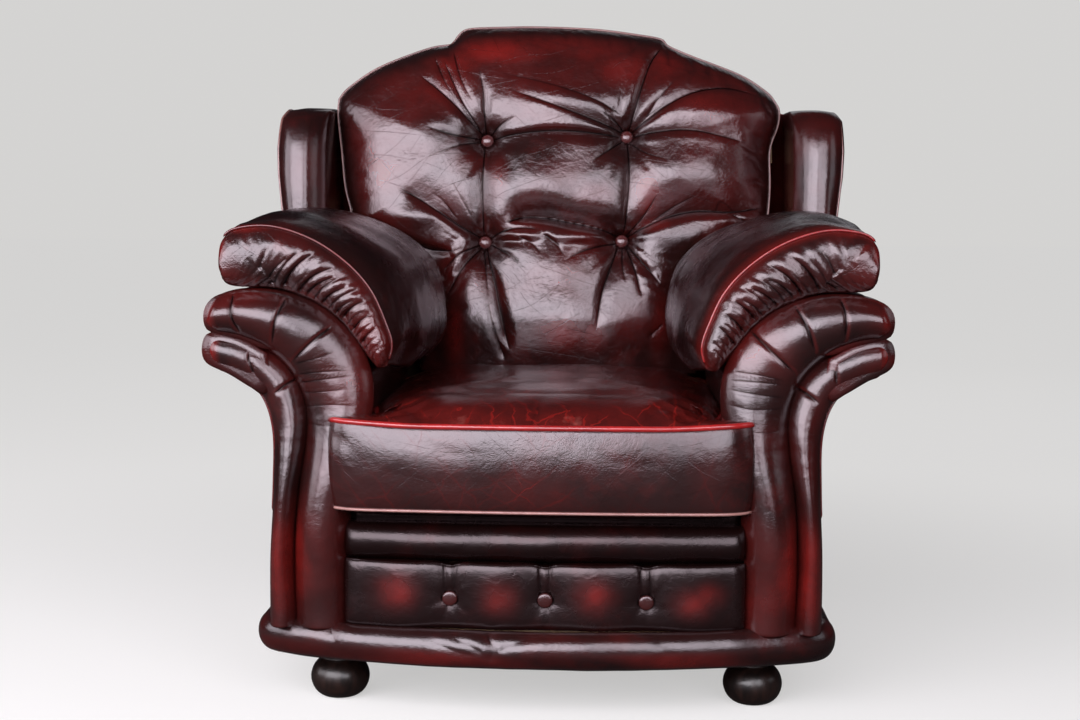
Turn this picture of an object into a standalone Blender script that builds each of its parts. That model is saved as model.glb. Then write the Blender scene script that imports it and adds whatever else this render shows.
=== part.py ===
"""A worn leather club chair with scrolled arms, wings and a deep-buttoned back.

Metres, +Z up. The chair faces -Y. The origin is on the floor, under the middle of the chair's
box. Run it with: blender --background --python part.py
"""

import math

import bmesh
import bpy
from mathutils import Vector

# Driving dimensions
FRONT_Y = -0.475  # foremost point, the base roll
BACK_Y = 0.475  # rearmost point, the top of the outside back
TOP_Z = 1.034  # top of the back
FOOT_HEIGHT = 0.077
BASE_TOP = 0.130  # top of the base roll, where the arm scrolls stand
DECK_TOP = 0.2865  # the seat cushion lies here
SEAT_EDGE_Z = 0.405  # top seam of the seat cushion
SEAT_CROWN_Z = 0.442
CLEAR = 0.0003  # gap between neighbours that touch
TIMBER = 0.028  # thickness of the frame's boards

# The back leans: a piece of it lies at a depth measured at the base roll's top, plus this slope
LEAN = 0.201
OUTSIDE_BACK_THICK = 0.008
BACK_ROUNDING = 0.004
BACK_SKIN = BACK_Y - LEAN * (TOP_Z - BACK_ROUNDING - BASE_TOP)  # outer face of the outside back
BACK_INNER = BACK_SKIN - OUTSIDE_BACK_THICK
BACK_FRAME = BACK_INNER - CLEAR - 0.032  # front face of the back frame
CUSHION_BACK = BACK_FRAME - CLEAR
CUSHION_FRONT = 0.045

# Widths, measured from the middle of the chair
PANEL_HALF = 0.2765  # buttoned front panel
SEAT_HALF = 0.2635  # seat cushion between the arms
SEAT_EAR_HALF = 0.294  # seat cushion where it laps over the arm fronts
RAIL_IN = 0.350
RAIL_OUT = 0.378
UPRIGHT_IN = 0.344
UPRIGHT_OUT = 0.3755
BACK_RAIL_HALF = UPRIGHT_IN - CLEAR
WING_IN = 0.398
WING_OUT = 0.478

# Depths
SEAT_FRONT = -0.454
SCROLL_FRONT = -0.415
POST_FRONT = -0.385
POST_BACK = POST_FRONT + TIMBER
PAD_FRONT = -0.410
PAD_BACK = 0.118
WING_FRONT = 0.120

# The feet's places
FOOT_X = 0.302
FOOT_FRONT_Y = -0.322
FOOT_BACK_Y = 0.200

# Buttons and springs
BUTTON_RADIUS = 0.012
BUTTON_HEIGHT = 0.009
FRONT_BUTTON_Z = 0.170
SPRING_WIRE = 0.0036

# Heights of the frame's rails
FRAME_BOTTOM = 0.0785
SEAT_RAIL_TOP = 0.2547
UPRIGHT_TOP = 0.7997

# Colours: (red, green, blue), roughness, metallic
OXBLOOD = ((0.085, 0.012, 0.011), 0.34, 0.0)
BEECH = ((0.52, 0.34, 0.19), 0.65, 0.0)
STAINED_WOOD = ((0.025, 0.012, 0.009), 0.28, 0.0)
SPRING_STEEL = ((0.30, 0.31, 0.33), 0.40, 1.0)
BLACK_CLOTH = ((0.012, 0.012, 0.013), 0.95, 0.0)
HESSIAN = ((0.42, 0.33, 0.20), 0.95, 0.0)

SIDES = (("left", -1), ("right", 1))


# ---- Outlines -------------------------------------------------------------------------------


def smooth(points, steps=3):
    """An open curve through the points, with steps points to each span (Catmull-Rom)."""
    ends = [points[0], *points, points[-1]]
    curve = []
    for before, start, stop, after in zip(ends, ends[1:], ends[2:], ends[3:]):
        for step in range(steps):
            t = step / steps
            curve.append(
                tuple(
                    b + 0.5 * t * (c - a + t * (2 * a - 5 * b + 4 * c - d + t * (3 * (b - c) + d - a)))
                    for a, b, c, d in zip(before, start, stop, after)
                )
            )
    return curve + [points[-1]]


def stretch(curve, start, stop):
    """The part of an open curve from one share of its points to another."""
    last = len(curve) - 1
    return curve[round(start * last) : round(stop * last) + 1]


def inset(outline, distance):
    """A closed outline moved inwards by distance."""
    count = len(outline)
    area = sum(
        outline[i - 1][0] * outline[i][1] - outline[i][0] * outline[i - 1][1] for i in range(count)
    )
    turn = 1 if area > 0 else -1
    moved = []
    for i, (u, v) in enumerate(outline):
        before = Vector(outline[i - 1])
        after = Vector(outline[(i + 1) % count])
        first = (Vector((u, v)) - before).normalized()
        second = (after - Vector((u, v))).normalized()
        normal = Vector((-first.y - second.y, first.x + second.x)) * turn
        normal.normalize()
        stretch_by = 1 / max(0.6, normal.dot(Vector((-first.y, first.x)) * turn))
        moved.append((u + normal.x * distance * stretch_by, v + normal.y * distance * stretch_by))
    return moved


def offset_curve(curve, distance):
    """An open curve moved to its left by distance."""
    moved = []
    for i, (u, v) in enumerate(curve):
        u0, v0 = curve[max(0, i - 1)]
        u1, v1 = curve[min(len(curve) - 1, i + 1)]
        along = Vector((u1 - u0, v1 - v0)).normalized()
        moved.append((u - along.y * distance, v + along.x * distance))
    return moved


def mirrored(half):
    """A closed outline from its right half, listed from the bottom up."""
    left = [(-u, v) for u, v in reversed(half) if u > 1e-6]
    return list(half) + left


def rectangle(u0, u1, v0, v1):
    return [(u0, v0), (u1, v0), (u1, v1), (u0, v1)]


# ---- Placing an outline's points: (u, v) of the outline, and a depth -------------------------


def facing(side):
    """An outline seen from the front: u is the distance from the middle, v the height."""
    return lambda u, v, depth: Vector((side * u, depth, v))


def leaning(side=1):
    """As facing, with the depth following the lean of the back."""
    return lambda u, v, depth: Vector((side * u, back_y(depth, v), v))


def plan(u, v, depth):
    """An outline seen from above; the depth is a height."""
    return Vector((u, v, depth))


def from_side(side):
    """An outline seen from the side: u is y, v the height, depth the distance from the middle."""
    return lambda u, v, depth: Vector((side * depth, u, v))


def back_y(depth, height):
    """The y of a layer of the leaning back at a height."""
    return depth + LEAN * (height - BASE_TOP)


# ---- Building solids ------------------------------------------------------------------------


def material_of(finish):
    colour, roughness, metallic = finish
    name = "finish_" + "_".join(str(round(c, 3)) for c in colour)
    made = bpy.data.materials.get(name)
    if made is None:
        made = bpy.data.materials.new(name)
        made.use_nodes = True
        shader = made.node_tree.nodes["Principled BSDF"]
        shader.inputs["Base Color"].default_value = (*colour, 1)
        shader.inputs["Roughness"].default_value = roughness
        shader.inputs["Metallic"].default_value = metallic
    return made


def through_rings(name, rings, finish):
    """A closed solid whose skin passes through rings with equal numbers of points."""
    edit = bmesh.new()
    loops = [[edit.verts.new(point) for point in ring] for ring in rings]
    for lower, upper in zip(loops, loops[1:]):
        for i in range(len(lower)):
            edit.faces.new((lower[i - 1], lower[i], upper[i], upper[i - 1]))
    edit.faces.new(loops[0])
    edit.faces.new(loops[-1])
    bmesh.ops.recalc_face_normals(edit, faces=edit.faces)
    mesh = bpy.data.meshes.new(name)
    edit.to_mesh(mesh)
    edit.free()
    mesh.shade_smooth()
    mesh.set_sharp_from_angle(angle=math.radians(35))
    mesh.materials.append(material_of(finish))
    made = bpy.data.objects.new(name, mesh)
    bpy.context.scene.collection.objects.link(made)
    return made


def solid(name, outline, stations, place, finish):
    """A closed solid through copies of one outline, one for each station: (inset, depth).
    A depth may be a function of the height, for an end that follows the lean of the back."""
    rings = []
    for inwards, depth in stations:
        ring = inset(outline, inwards) if inwards else outline
        rings.append([place(u, v, depth(v) if callable(depth) else depth) for u, v in ring])
    return through_rings(name, rings, finish)


def padded(start, end, rounding):
    """Stations for a solid whose start is rounded over like padding, and whose end is flat."""
    step = 1 if end > start else -1
    return [
        (rounding, start),
        (rounding * 0.32, start + step * rounding * 0.28),
        (0, start + step * rounding),
        (0, end),
    ]


def leather(name, outline, stations, place):
    return solid(name, outline, stations, place, OXBLOOD)


def board(name, outline, start, end, place):
    return solid(name, outline, [(0, start), (0, end)], place, BEECH)


def turned(name, profile, centre, facing_front, finish, segments):
    """A turned piece from (radius, distance along the axis) pairs, on +Z or facing -Y."""
    rings = []
    for radius, along in profile:
        ring = []
        for i in range(segments):
            angle = math.tau * i / segments
            across, other = radius * math.cos(angle), radius * math.sin(angle)
            spot = Vector((across, -along, other)) if facing_front else Vector((across, other, along))
            ring.append(Vector(centre) + spot)
        rings.append(ring)
    return through_rings(name, rings, finish)


def cut(targets, cutter):
    """Takes the cutter out of each target, and then removes the cutter."""
    for target in targets:
        modifier = target.modifiers.new("cut", "BOOLEAN")
        modifier.operation = "DIFFERENCE"
        modifier.solver = "EXACT"
        modifier.object = cutter
        depsgraph = bpy.context.evaluated_depsgraph_get()
        carved = bpy.data.meshes.new_from_object(target.evaluated_get(depsgraph))
        target.modifiers.remove(modifier)
        target.data = carved
    bpy.data.objects.remove(cutter, do_unlink=True)


# ---- The arms -------------------------------------------------------------------------------

# Three curves seen from the front shape each arm: its inner edge, which runs up and over the
# scroll, the seam between the two scroll rolls, and its outer edge. All end at the scroll's tip.
ARM_INNER = smooth(
    [
        (0.277, BASE_TOP),
        (0.278, 0.225),
        (0.271, 0.315),
        (0.254, 0.385),
        (0.245, 0.440),
        (0.247, 0.480),
        (0.262, 0.522),
        (0.292, 0.558),
        (0.330, 0.584),
        (0.375, 0.598),
        (0.425, 0.600),
        (0.462, 0.590),
        (0.478, 0.570),
    ],
    2,
)
ARM_SEAM = smooth(
    [
        (0.354, BASE_TOP),
        (0.356, 0.220),
        (0.351, 0.310),
        (0.341, 0.380),
        (0.340, 0.432),
        (0.356, 0.477),
        (0.388, 0.510),
        (0.430, 0.531),
        (0.478, 0.540),
    ],
    2,
)
ARM_OUTER = smooth(
    [
        (0.392, BASE_TOP),
        (0.391, 0.220),
        (0.386, 0.320),
        (0.386, 0.400),
        (0.402, 0.450),
        (0.434, 0.475),
        (0.478, 0.492),
    ],
    2,
)
OVERHANG_SHARE = 0.66  # where on the outer edge the arm starts to overhang
SIDE_PANEL_THICK = 0.008
ARM_RAIL = ((0.300, 0.360), (0.505, 0.533))  # ranges of the distance from the middle and height
STUFF_RAIL = ((0.287, 0.307), (0.2385, 0.2635))


def rear_end(height):
    """The y at which the arm pieces meet the outside back."""
    return back_y(BACK_INNER, height) - CLEAR


def frame_front(height):
    """The y at which the side's rails meet the back frame."""
    return back_y(BACK_FRAME, height) - CLEAR


def make_scrolls(label, side):
    """The two padded rolls that follow the arm's front, and the wooden post that carries them."""
    end = POST_FRONT - CLEAR
    inner = inset(ARM_INNER + ARM_SEAM[::-1], CLEAR / 2)
    leather(f"arm_scroll_inner_{label}", inner, padded(SCROLL_FRONT, end, 0.016), facing(side))
    outer = inset(ARM_SEAM + ARM_OUTER[::-1], CLEAR / 2)
    leather(f"arm_scroll_outer_{label}", outer, padded(SCROLL_FRONT + 0.004, end, 0.010), facing(side))

    margin = 0.010
    foot_in = (ARM_INNER[0][0], FRAME_BOTTOM - margin)
    foot_out = (ARM_OUTER[0][0], FRAME_BOTTOM - margin)
    whole = [foot_in] + ARM_INNER + ARM_OUTER[::-1] + [foot_out]
    board(f"arm_post_{label}", inset(whole, margin), POST_FRONT, POST_BACK, facing(side))


def make_arm_sides(label, side):
    """The arm's outside panel with two padded rolls over it, and the panel beside the seat."""
    lower_edge = stretch(ARM_OUTER, 0, OVERHANG_SHARE)
    strip = lower_edge + offset_curve(lower_edge, SIDE_PANEL_THICK)[::-1]
    leather(f"outside_arm_{label}", strip, [(0, POST_FRONT + CLEAR), (0, rear_end)], facing(side))

    (rail_in, rail_out), (rail_low, rail_high) = ARM_RAIL
    top_edge = stretch(ARM_INNER, 0.60, 1)
    seam_edge = stretch(ARM_SEAM, 0.70, 1)
    over_rail = [
        (rail_out + CLEAR, rail_low + 0.004),
        (rail_out + CLEAR, rail_high + CLEAR),
        (rail_in + 0.015, rail_high + CLEAR),
    ]
    upper = inset(top_edge + seam_edge[::-1] + over_rail, CLEAR / 2)
    lower = inset(seam_edge + stretch(ARM_OUTER, OVERHANG_SHARE + 0.02, 1)[::-1], CLEAR / 2)
    lengths = [(0, POST_BACK + CLEAR), (0, rear_end)]
    rolls = [
        leather(f"arm_bolster_upper_{label}", upper, lengths, facing(side)),
        leather(f"arm_bolster_lower_{label}", lower, lengths, facing(side)),
    ]
    room = rectangle(UPRIGHT_IN - CLEAR, UPRIGHT_OUT + CLEAR, 0.300, 0.700)
    cut(rolls, board("upright_room", room, BACK_FRAME - CLEAR, BACK_INNER + 0.050, leaning(side)))

    foot_z = STUFF_RAIL[1][1] + CLEAR
    head_z = rail_low - CLEAR
    face = [(0.266, foot_z), (0.266, 0.390), (0.257, 0.435), (0.253, 0.475), (0.264, head_z)]
    hidden = [(0.309, head_z), (0.2897, 0.470), (0.2897, foot_z)]
    leather(f"inside_arm_{label}", face + hidden, [(0, POST_BACK + CLEAR), (0, 0.104)], facing(side))


def make_side_frame(label, side):
    """The rails that run back from the post, and the upright that they end on."""
    sections = {
        "arm": (*ARM_RAIL[0], *ARM_RAIL[1]),
        "stuffing": (*STUFF_RAIL[0], *STUFF_RAIL[1]),
        "side": (RAIL_IN, RAIL_OUT, FRAME_BOTTOM, SEAT_RAIL_TOP),
    }
    for kind, section in sections.items():
        rail = rectangle(*section)
        board(f"{kind}_rail_{label}", rail, POST_BACK + CLEAR, frame_front, facing(side))
    upright = rectangle(UPRIGHT_IN, UPRIGHT_OUT, FRAME_BOTTOM, UPRIGHT_TOP)
    board(f"back_upright_{label}", upright, BACK_FRAME, BACK_INNER - CLEAR, leaning(side))


# The arm pad's upper edge, from its outer end over the top to the side of the seat: as the
# narrow crescent of its front, and as the full bulge behind
PAD_FRONT_EDGE = smooth(
    [
        (0.453, 0.640),
        (0.456, 0.665),
        (0.436, 0.687),
        (0.386, 0.688),
        (0.330, 0.671),
        (0.282, 0.640),
        (0.245, 0.598),
        (0.221, 0.548),
        (0.213, 0.512),
        (0.222, 0.488),
    ],
    2,
)
PAD_FULL_EDGE = smooth(
    [
        (0.458, 0.640),
        (0.461, 0.675),
        (0.440, 0.701),
        (0.388, 0.707),
        (0.322, 0.697),
        (0.252, 0.669),
        (0.199, 0.622),
        (0.179, 0.555),
        (0.188, 0.490),
        (0.216, 0.458),
    ],
    2,
)


def make_arm_pad(label, side):
    """The pillow on top of the arm, which lies on the arm's inner edge and rail."""
    underside = offset_curve(stretch(ARM_INNER, 0.36, 0.90), 0.0015)
    # How far each ring is along from the crescent to the full bulge, its inset, and its depth
    stations = [
        (0, 0.014, PAD_FRONT),
        (0, 0.004, PAD_FRONT + 0.006),
        (0.05, 0, PAD_FRONT + 0.022),
        (0.75, 0, PAD_FRONT + 0.120),
        (1, 0, PAD_FRONT + 0.270),
        (0.9, 0, PAD_BACK - 0.050),
        (0.7, 0.012, PAD_BACK),
    ]
    rings = []
    for fullness, inwards, y in stations:
        edge = [
            (u0 + fullness * (u1 - u0), v0 + fullness * (v1 - v0))
            for (u0, v0), (u1, v1) in zip(PAD_FRONT_EDGE, PAD_FULL_EDGE)
        ]
        ring = inset(underside + edge, inwards) if inwards else underside + edge
        rings.append([facing(side)(u, v, y) for u, v in ring])
    through_rings(f"arm_pad_{label}", rings, OXBLOOD)


# ---- The seat -------------------------------------------------------------------------------


def bow_line(half_width, front, bow, steps=8):
    """A line across the chair, seen from above, whose middle lies forward of its ends by bow."""
    shares = [i / steps - 1 for i in range(2 * steps + 1)]
    return [(half_width * share, front + bow * share**2) for share in shares]


def bowed_panel(half_width, front, bow):
    """The plan of a padded panel on the front rail."""
    line = bow_line(half_width, front, bow)
    ends = [(x, y + 0.012) for x, y in (line[0], line[-1])]
    back = POST_FRONT - CLEAR
    return [ends[0]] + line[1:-1] + [ends[1], (half_width, back), (-half_width, back)]


def make_seat_cushion():
    """The loose box cushion. Its front laps over the arm fronts, as the bar of a T."""
    front = bow_line(SEAT_EAR_HALF - 0.008, SEAT_FRONT, 0.015)
    ear_back = SCROLL_FRONT - 0.0005
    ear = [
        (SEAT_EAR_HALF, SEAT_FRONT + 0.024),
        (SEAT_EAR_HALF, ear_back - 0.004),
        (SEAT_EAR_HALF - 0.004, ear_back),
    ]
    neck = [(0.245, ear_back), (0.240, -0.405), (0.236, -0.380), (SEAT_HALF - 0.018, -0.330)]
    body = [(SEAT_HALF, -0.200), (SEAT_HALF, 0.170), (0.245, 0.200)]
    half = ear + neck + body
    outline = front + half + [(-x, y) for x, y in half[::-1]]

    # The box, from the bottom seam to the top seam
    rings = []
    low = DECK_TOP + CLEAR
    for inwards, z in ((0.006, low), (0, low + 0.008), (0, SEAT_EDGE_Z - 0.006), (0.006, SEAT_EDGE_Z)):
        ring = inset(outline, inwards) if inwards else outline
        rings.append([Vector((x, y, z)) for x, y in ring])

    # The crowned top, whose rings stay clear of the arm fronts
    neck_half = 0.240
    middle_y = -0.14
    for share, z in ((1, 0.4105), (0.86, 0.424), (0.62, 0.438), (0.30, SEAT_CROWN_Z)):
        ring = []
        for x, y in outline:
            x_in = max(-neck_half, min(neck_half, x * 0.90))
            y_in = min(y + 0.008, -0.420) if y < ear_back + 0.001 else y
            ring.append(Vector((x_in * share, middle_y + (y_in - middle_y) * share, z)))
        rings.append(ring)
    through_rings("seat_cushion", rings, OXBLOOD)


def make_front_panel():
    """The buttoned panel under the seat, and the plain roll between it and the cushion."""
    roll = bowed_panel(0.2735, -0.434, 0.016)
    roll_stations = [(0.010, 0.2200), (0, 0.2270), (0, 0.2560), (0.005, 0.2650), (0.016, 0.2680)]
    leather("edge_roll", roll, roll_stations, plan)

    front, bow = -0.442, 0.018
    outline = bowed_panel(PANEL_HALF, front, bow)
    stations = [(0.006, BASE_TOP + CLEAR), (0, 0.1380), (0, 0.2110), (0.009, 0.2196)]
    panel = leather("front_panel", outline, stations, plan)
    for label, x in (("left", -0.137), ("middle", 0.0), ("right", 0.137)):
        floor = front + bow * (x / PANEL_HALF) ** 2 + 0.007
        pit = [(0.015, 0.0), (0.020, 0.0050), (0.034, 0.0120)]
        cut([panel], turned("pit", pit, (x, floor, FRONT_BUTTON_Z), True, OXBLOOD, 14))
        make_button(f"front_button_{label}", (x, floor - CLEAR, FRONT_BUTTON_Z))


def make_button(name, centre):
    """A leather-covered button: a domed cap whose back faces the padding."""
    dome = [(0.8, 0), (1, 0.30), (0.88, 0.68), (0.55, 0.92), (0.15, 1)]
    profile = [(BUTTON_RADIUS * radius, BUTTON_HEIGHT * along) for radius, along in dome]
    turned(name, profile, centre, True, OXBLOOD, 14)


def make_springs():
    """Zigzag seat springs: steel wires that cross to and fro as they run from rail to rail."""
    start = POST_FRONT + 0.010
    length = back_y(BACK_FRAME, SEAT_RAIL_TOP) + 0.012 - start
    bends = 15
    steps = 4 * bends
    for number in range(4):
        middle_x = -0.198 + 0.132 * number
        points = []
        for i in range(steps + 1):
            share = i / steps
            sway = math.sin(math.pi * share * bends)
            x = middle_x + 0.022 * math.copysign(abs(sway) ** 0.6, sway)
            z = SEAT_RAIL_TOP + CLEAR + SPRING_WIRE / 2 + 0.0088 * math.sin(math.pi * share)
            points.append((x, start + share * length, z))
        name = f"seat_spring_{number + 1}"
        curve = bpy.data.curves.new(name, "CURVE")
        curve.dimensions = "3D"
        curve.bevel_depth = SPRING_WIRE / 2
        curve.bevel_resolution = 1
        curve.use_fill_caps = True
        line = curve.splines.new("POLY")
        line.points.add(steps)
        for point, spot in zip(line.points, points):
            point.co = (*spot, 1)
        curve.materials.append(material_of(SPRING_STEEL))
        bpy.context.scene.collection.objects.link(bpy.data.objects.new(name, curve))


def make_seat():
    make_seat_cushion()
    deck = rectangle(-0.2655, 0.2655, -0.404, 0.215)
    solid("seat_deck", deck, [(0, DECK_TOP - 0.0182), (0, DECK_TOP)], plan, HESSIAN)
    make_front_panel()
    make_springs()


# ---- The back -------------------------------------------------------------------------------

# The back's outline, seen from the front: its lower edge between and over the arm pads, its
# side and shoulder, and the crest that stands up between two notches
BACK_LOWER = [
    (0.0, 0.4435),
    (0.190, 0.4435),
    (0.184, 0.500),
    (0.176, 0.548),
    (0.215, 0.585),
    (0.300, 0.605),
    (0.370, 0.612),
]
BACK_EDGE = smooth(
    [
        (0.386, 0.640),
        (0.366, 0.720),
        (0.372, 0.800),
        (0.386, 0.868),
        (0.390, 0.905),
        (0.370, 0.926),
        (0.318, 0.960),
        (0.235, 0.989),
        (0.190, 1.003),
    ],
    2,
)
CREST = [(0.176, 1.014), (0.160, 1.026), (0.080, 1.032), (0.0, TOP_Z)]
CUSHION_MIDDLE_Z = 0.760
BACK_BUTTONS = (
    ("upper_left", -0.121, 0.834),
    ("upper_right", 0.121, 0.834),
    ("lower_left", -0.118, 0.656),
    ("lower_right", 0.118, 0.656),
)
BUTTON_DEPTH = 0.044  # from the cushion's face to the floors of the button pits
TOP_RAIL = (0.800, 0.860)


def make_back_cushion():
    outline = mirrored(BACK_LOWER + BACK_EDGE + CREST)
    stations = [
        (0.120, CUSHION_FRONT),
        (0.060, CUSHION_FRONT + 0.008),
        (0.022, CUSHION_FRONT + 0.035),
        (0, CUSHION_FRONT + 0.080),
        (0, CUSHION_BACK),
    ]
    rings = []
    for inwards, depth in stations:
        scale = 1 - inwards / 0.38
        ring = []
        for u, v in outline:
            # The lower edge stays down on the seat while the rest of the ring closes in
            scale_v = scale if v > CUSHION_MIDDLE_Z else 1 - inwards * 0.2
            height = CUSHION_MIDDLE_Z + (v - CUSHION_MIDDLE_Z) * scale_v
            ring.append(leaning()(u * scale, height, depth))
        rings.append(ring)
    cushion = through_rings("back_cushion", rings, OXBLOOD)
    for label, x, z in BACK_BUTTONS:
        y = back_y(CUSHION_FRONT + BUTTON_DEPTH, z)
        pit = [(0.016, 0.0), (0.034, 0.022), (0.060, 0.060)]
        cut([cushion], turned("pit", pit, (x, y, z), True, OXBLOOD, 14))
        make_button(f"back_button_{label}", (x, y - CLEAR, z))


def make_back_frame():
    """The rails between the uprights, the padding over the top rail, and the outside cover."""
    rails = {
        "back_rail": (BACK_RAIL_HALF, FRAME_BOTTOM, SEAT_RAIL_TOP),
        "lumbar_rail": (BACK_RAIL_HALF, 0.455, 0.515),
        "top_rail": (0.384, *TOP_RAIL),
    }
    for name, (half_width, low, high) in rails.items():
        outline = rectangle(-half_width, half_width, low, high)
        board(name, outline, BACK_FRAME, BACK_INNER - CLEAR, leaning())

    pad_low = TOP_RAIL[1] + 0.0005
    shoulder = [(u, v) for u, v in BACK_EDGE if v > pad_low + 0.002]
    crest = mirrored([(0.0, pad_low), (0.380, pad_low)] + shoulder + CREST)
    leather("back_crest_pad", crest, [(0, CUSHION_BACK + CLEAR), (0, BACK_INNER - CLEAR)], leaning())

    low = BASE_TOP + 0.0005
    side_edge = [(0.391, low), (0.388, 0.330), (0.390, 0.420), (0.436, 0.476), (0.476, 0.500)]
    wing_edge = [(0.477, 0.800), (0.472, 0.850), (0.455, 0.876), (0.420, 0.884), (0.392, 0.886)]
    cover = mirrored([(0.0, low)] + side_edge + wing_edge + shoulder[1:] + CREST)
    stations = [(0, BACK_INNER), (0, BACK_SKIN - 0.003), (BACK_ROUNDING, BACK_SKIN)]
    leather("outside_back", cover, stations, leaning())


def make_wing(label, side):
    """The side wing, drawn from the side. It stands on the arm's upper roll."""
    low = 0.6015
    front = smooth(
        [
            (WING_FRONT, low),
            (0.124, 0.690),
            (0.132, 0.790),
            (0.150, 0.850),
            (0.185, 0.880),
            (0.240, 0.886),
        ],
        2,
    )
    beyond_back = 1.0  # the rear points are brought forward to the outside back
    outline = front + [(beyond_back, 0.884), (beyond_back, low)]
    rings = []
    for inwards, out in ((0, WING_IN), (0, WING_OUT - 0.030), (0.006, WING_OUT - 0.010), (0.020, WING_OUT)):
        ring = []
        for y, z in outline:
            height = z - inwards if z > 0.870 else z
            ring.append(from_side(side)(min(y + inwards, rear_end(height)), height, out))
        rings.append(ring)
    through_rings(f"wing_{label}", rings, OXBLOOD)


# ---- The base -------------------------------------------------------------------------------


def make_base_roll():
    """The padded roll round the foot of the chair, in a front piece and two sides."""
    low, high = FOOT_HEIGHT, BASE_TOP - CLEAR
    front = bow_line(0.375, FRONT_Y, 0.0689, 10)
    side_in, side_out = 0.3835, 0.412
    joint_y = POST_BACK - 0.0055
    corner = [
        (0.398, -0.392),
        (side_out - 0.003, -0.3815),
        (side_out, joint_y),
        (side_in, joint_y),
        (side_in, POST_FRONT - CLEAR),
    ]
    outline = front + corner + [(-x, y) for x, y in corner[::-1]]
    stations = [
        (0.016, low),
        (0.004, low + 0.008),
        (0, low + 0.020),
        (0, high - 0.018),
        (0.004, high - 0.007),
        (0.014, high),
    ]
    rings = []
    for inwards, z in stations:
        ring = []
        closer = inset(outline, inwards) if inwards else outline
        for (x, y), (x_in, y_in) in zip(outline, closer):
            # Only the outer face is rounded: the faces against the frame stay flat
            outer_face = y < joint_y - 0.001 and (abs(x) > 0.390 or y < POST_FRONT - 0.005)
            ring.append(Vector((x_in, y_in, z)) if outer_face else Vector((x, y, z)))
        rings.append(ring)
    through_rings("base_roll_front", rings, OXBLOOD)

    section = [
        (side_in, low + 0.0015),
        (0.398, low + 0.0015),
        (side_out - 0.0035, low + 0.010),
        (side_out, low + 0.026),
        (side_out - 0.0035, high - 0.012),
        (0.398, high - 0.001),
        (side_in, high - 0.001),
    ]
    for label, side in SIDES:
        lengths = [(0, joint_y + CLEAR), (0, rear_end)]
        leather(f"base_roll_{label}", section, lengths, facing(side))


def make_corner_blocks():
    """Triangular blocks glued into the corners of the seat frame, over the feet."""
    leg = 0.085
    front_y = POST_BACK + CLEAR
    back_y_low = back_y(BACK_FRAME, FRAME_BOTTOM) - CLEAR
    ends = (("front", RAIL_IN - CLEAR, front_y, 1), ("back", BACK_RAIL_HALF, back_y_low, -1))
    for label, side in SIDES:
        for end, x_out, y, way in ends:
            corner = [(side * x_out, y), (side * x_out, y + way * leg), (side * (x_out - leg), y)]
            heights = [(0, FRAME_BOTTOM), (0, FRAME_BOTTOM + 0.040)]
            solid(f"corner_block_{end}_{label}", corner, heights, plan, BEECH)


def make_feet():
    profile = [
        (0.026, 0.0),
        (0.038, 0.010),
        (0.0435, 0.026),
        (0.0415, 0.042),
        (0.032, 0.054),
        (0.026, 0.058),
        (0.030, 0.064),
        (0.030, FOOT_HEIGHT - 0.0001),
    ]
    for label, side in SIDES:
        for end, y in (("front", FOOT_FRONT_Y), ("back", FOOT_BACK_Y)):
            turned(f"foot_{end}_{label}", profile, (side * FOOT_X, y, 0), False, STAINED_WOOD, 20)


def make_base():
    make_base_roll()
    between_posts = rectangle(-0.2865, 0.2865, FRAME_BOTTOM, SEAT_RAIL_TOP)
    board("front_rail", between_posts, POST_FRONT, POST_BACK, facing(1))
    cover = rectangle(-0.376, 0.376, POST_FRONT + 0.0015, 0.2585)
    solid("dust_cover", cover, [(0, FRAME_BOTTOM - 0.0012), (0, FRAME_BOTTOM - 0.0004)], plan, BLACK_CLOTH)
    make_corner_blocks()
    make_feet()


def main():
    for thing in list(bpy.data.objects):
        bpy.data.objects.remove(thing, do_unlink=True)
    make_base()
    make_seat()
    make_back_cushion()
    make_back_frame()
    for label, side in SIDES:
        make_scrolls(label, side)
        make_arm_sides(label, side)
        make_side_frame(label, side)
        make_arm_pad(label, side)
        make_wing(label, side)


main()
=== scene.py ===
# %% [markdown]
# A worn leather club chair, told as a lesson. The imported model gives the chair's construction:
# the beech frame, the springs, and a plain solid for each padded piece. This script gives each
# padded piece its leather, with the creases, seams, piping and rubbed places of an old chair.
# The chair faces -Y, and left and right are as seen from the front. Single values are in metres.
# The tables of points, folds and spots are in millimetres, and mm() turns them into metres.

# %% Load the frame
import math

import bmesh
import bpy
import numpy as np
from mathutils import Matrix, Vector


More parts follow.
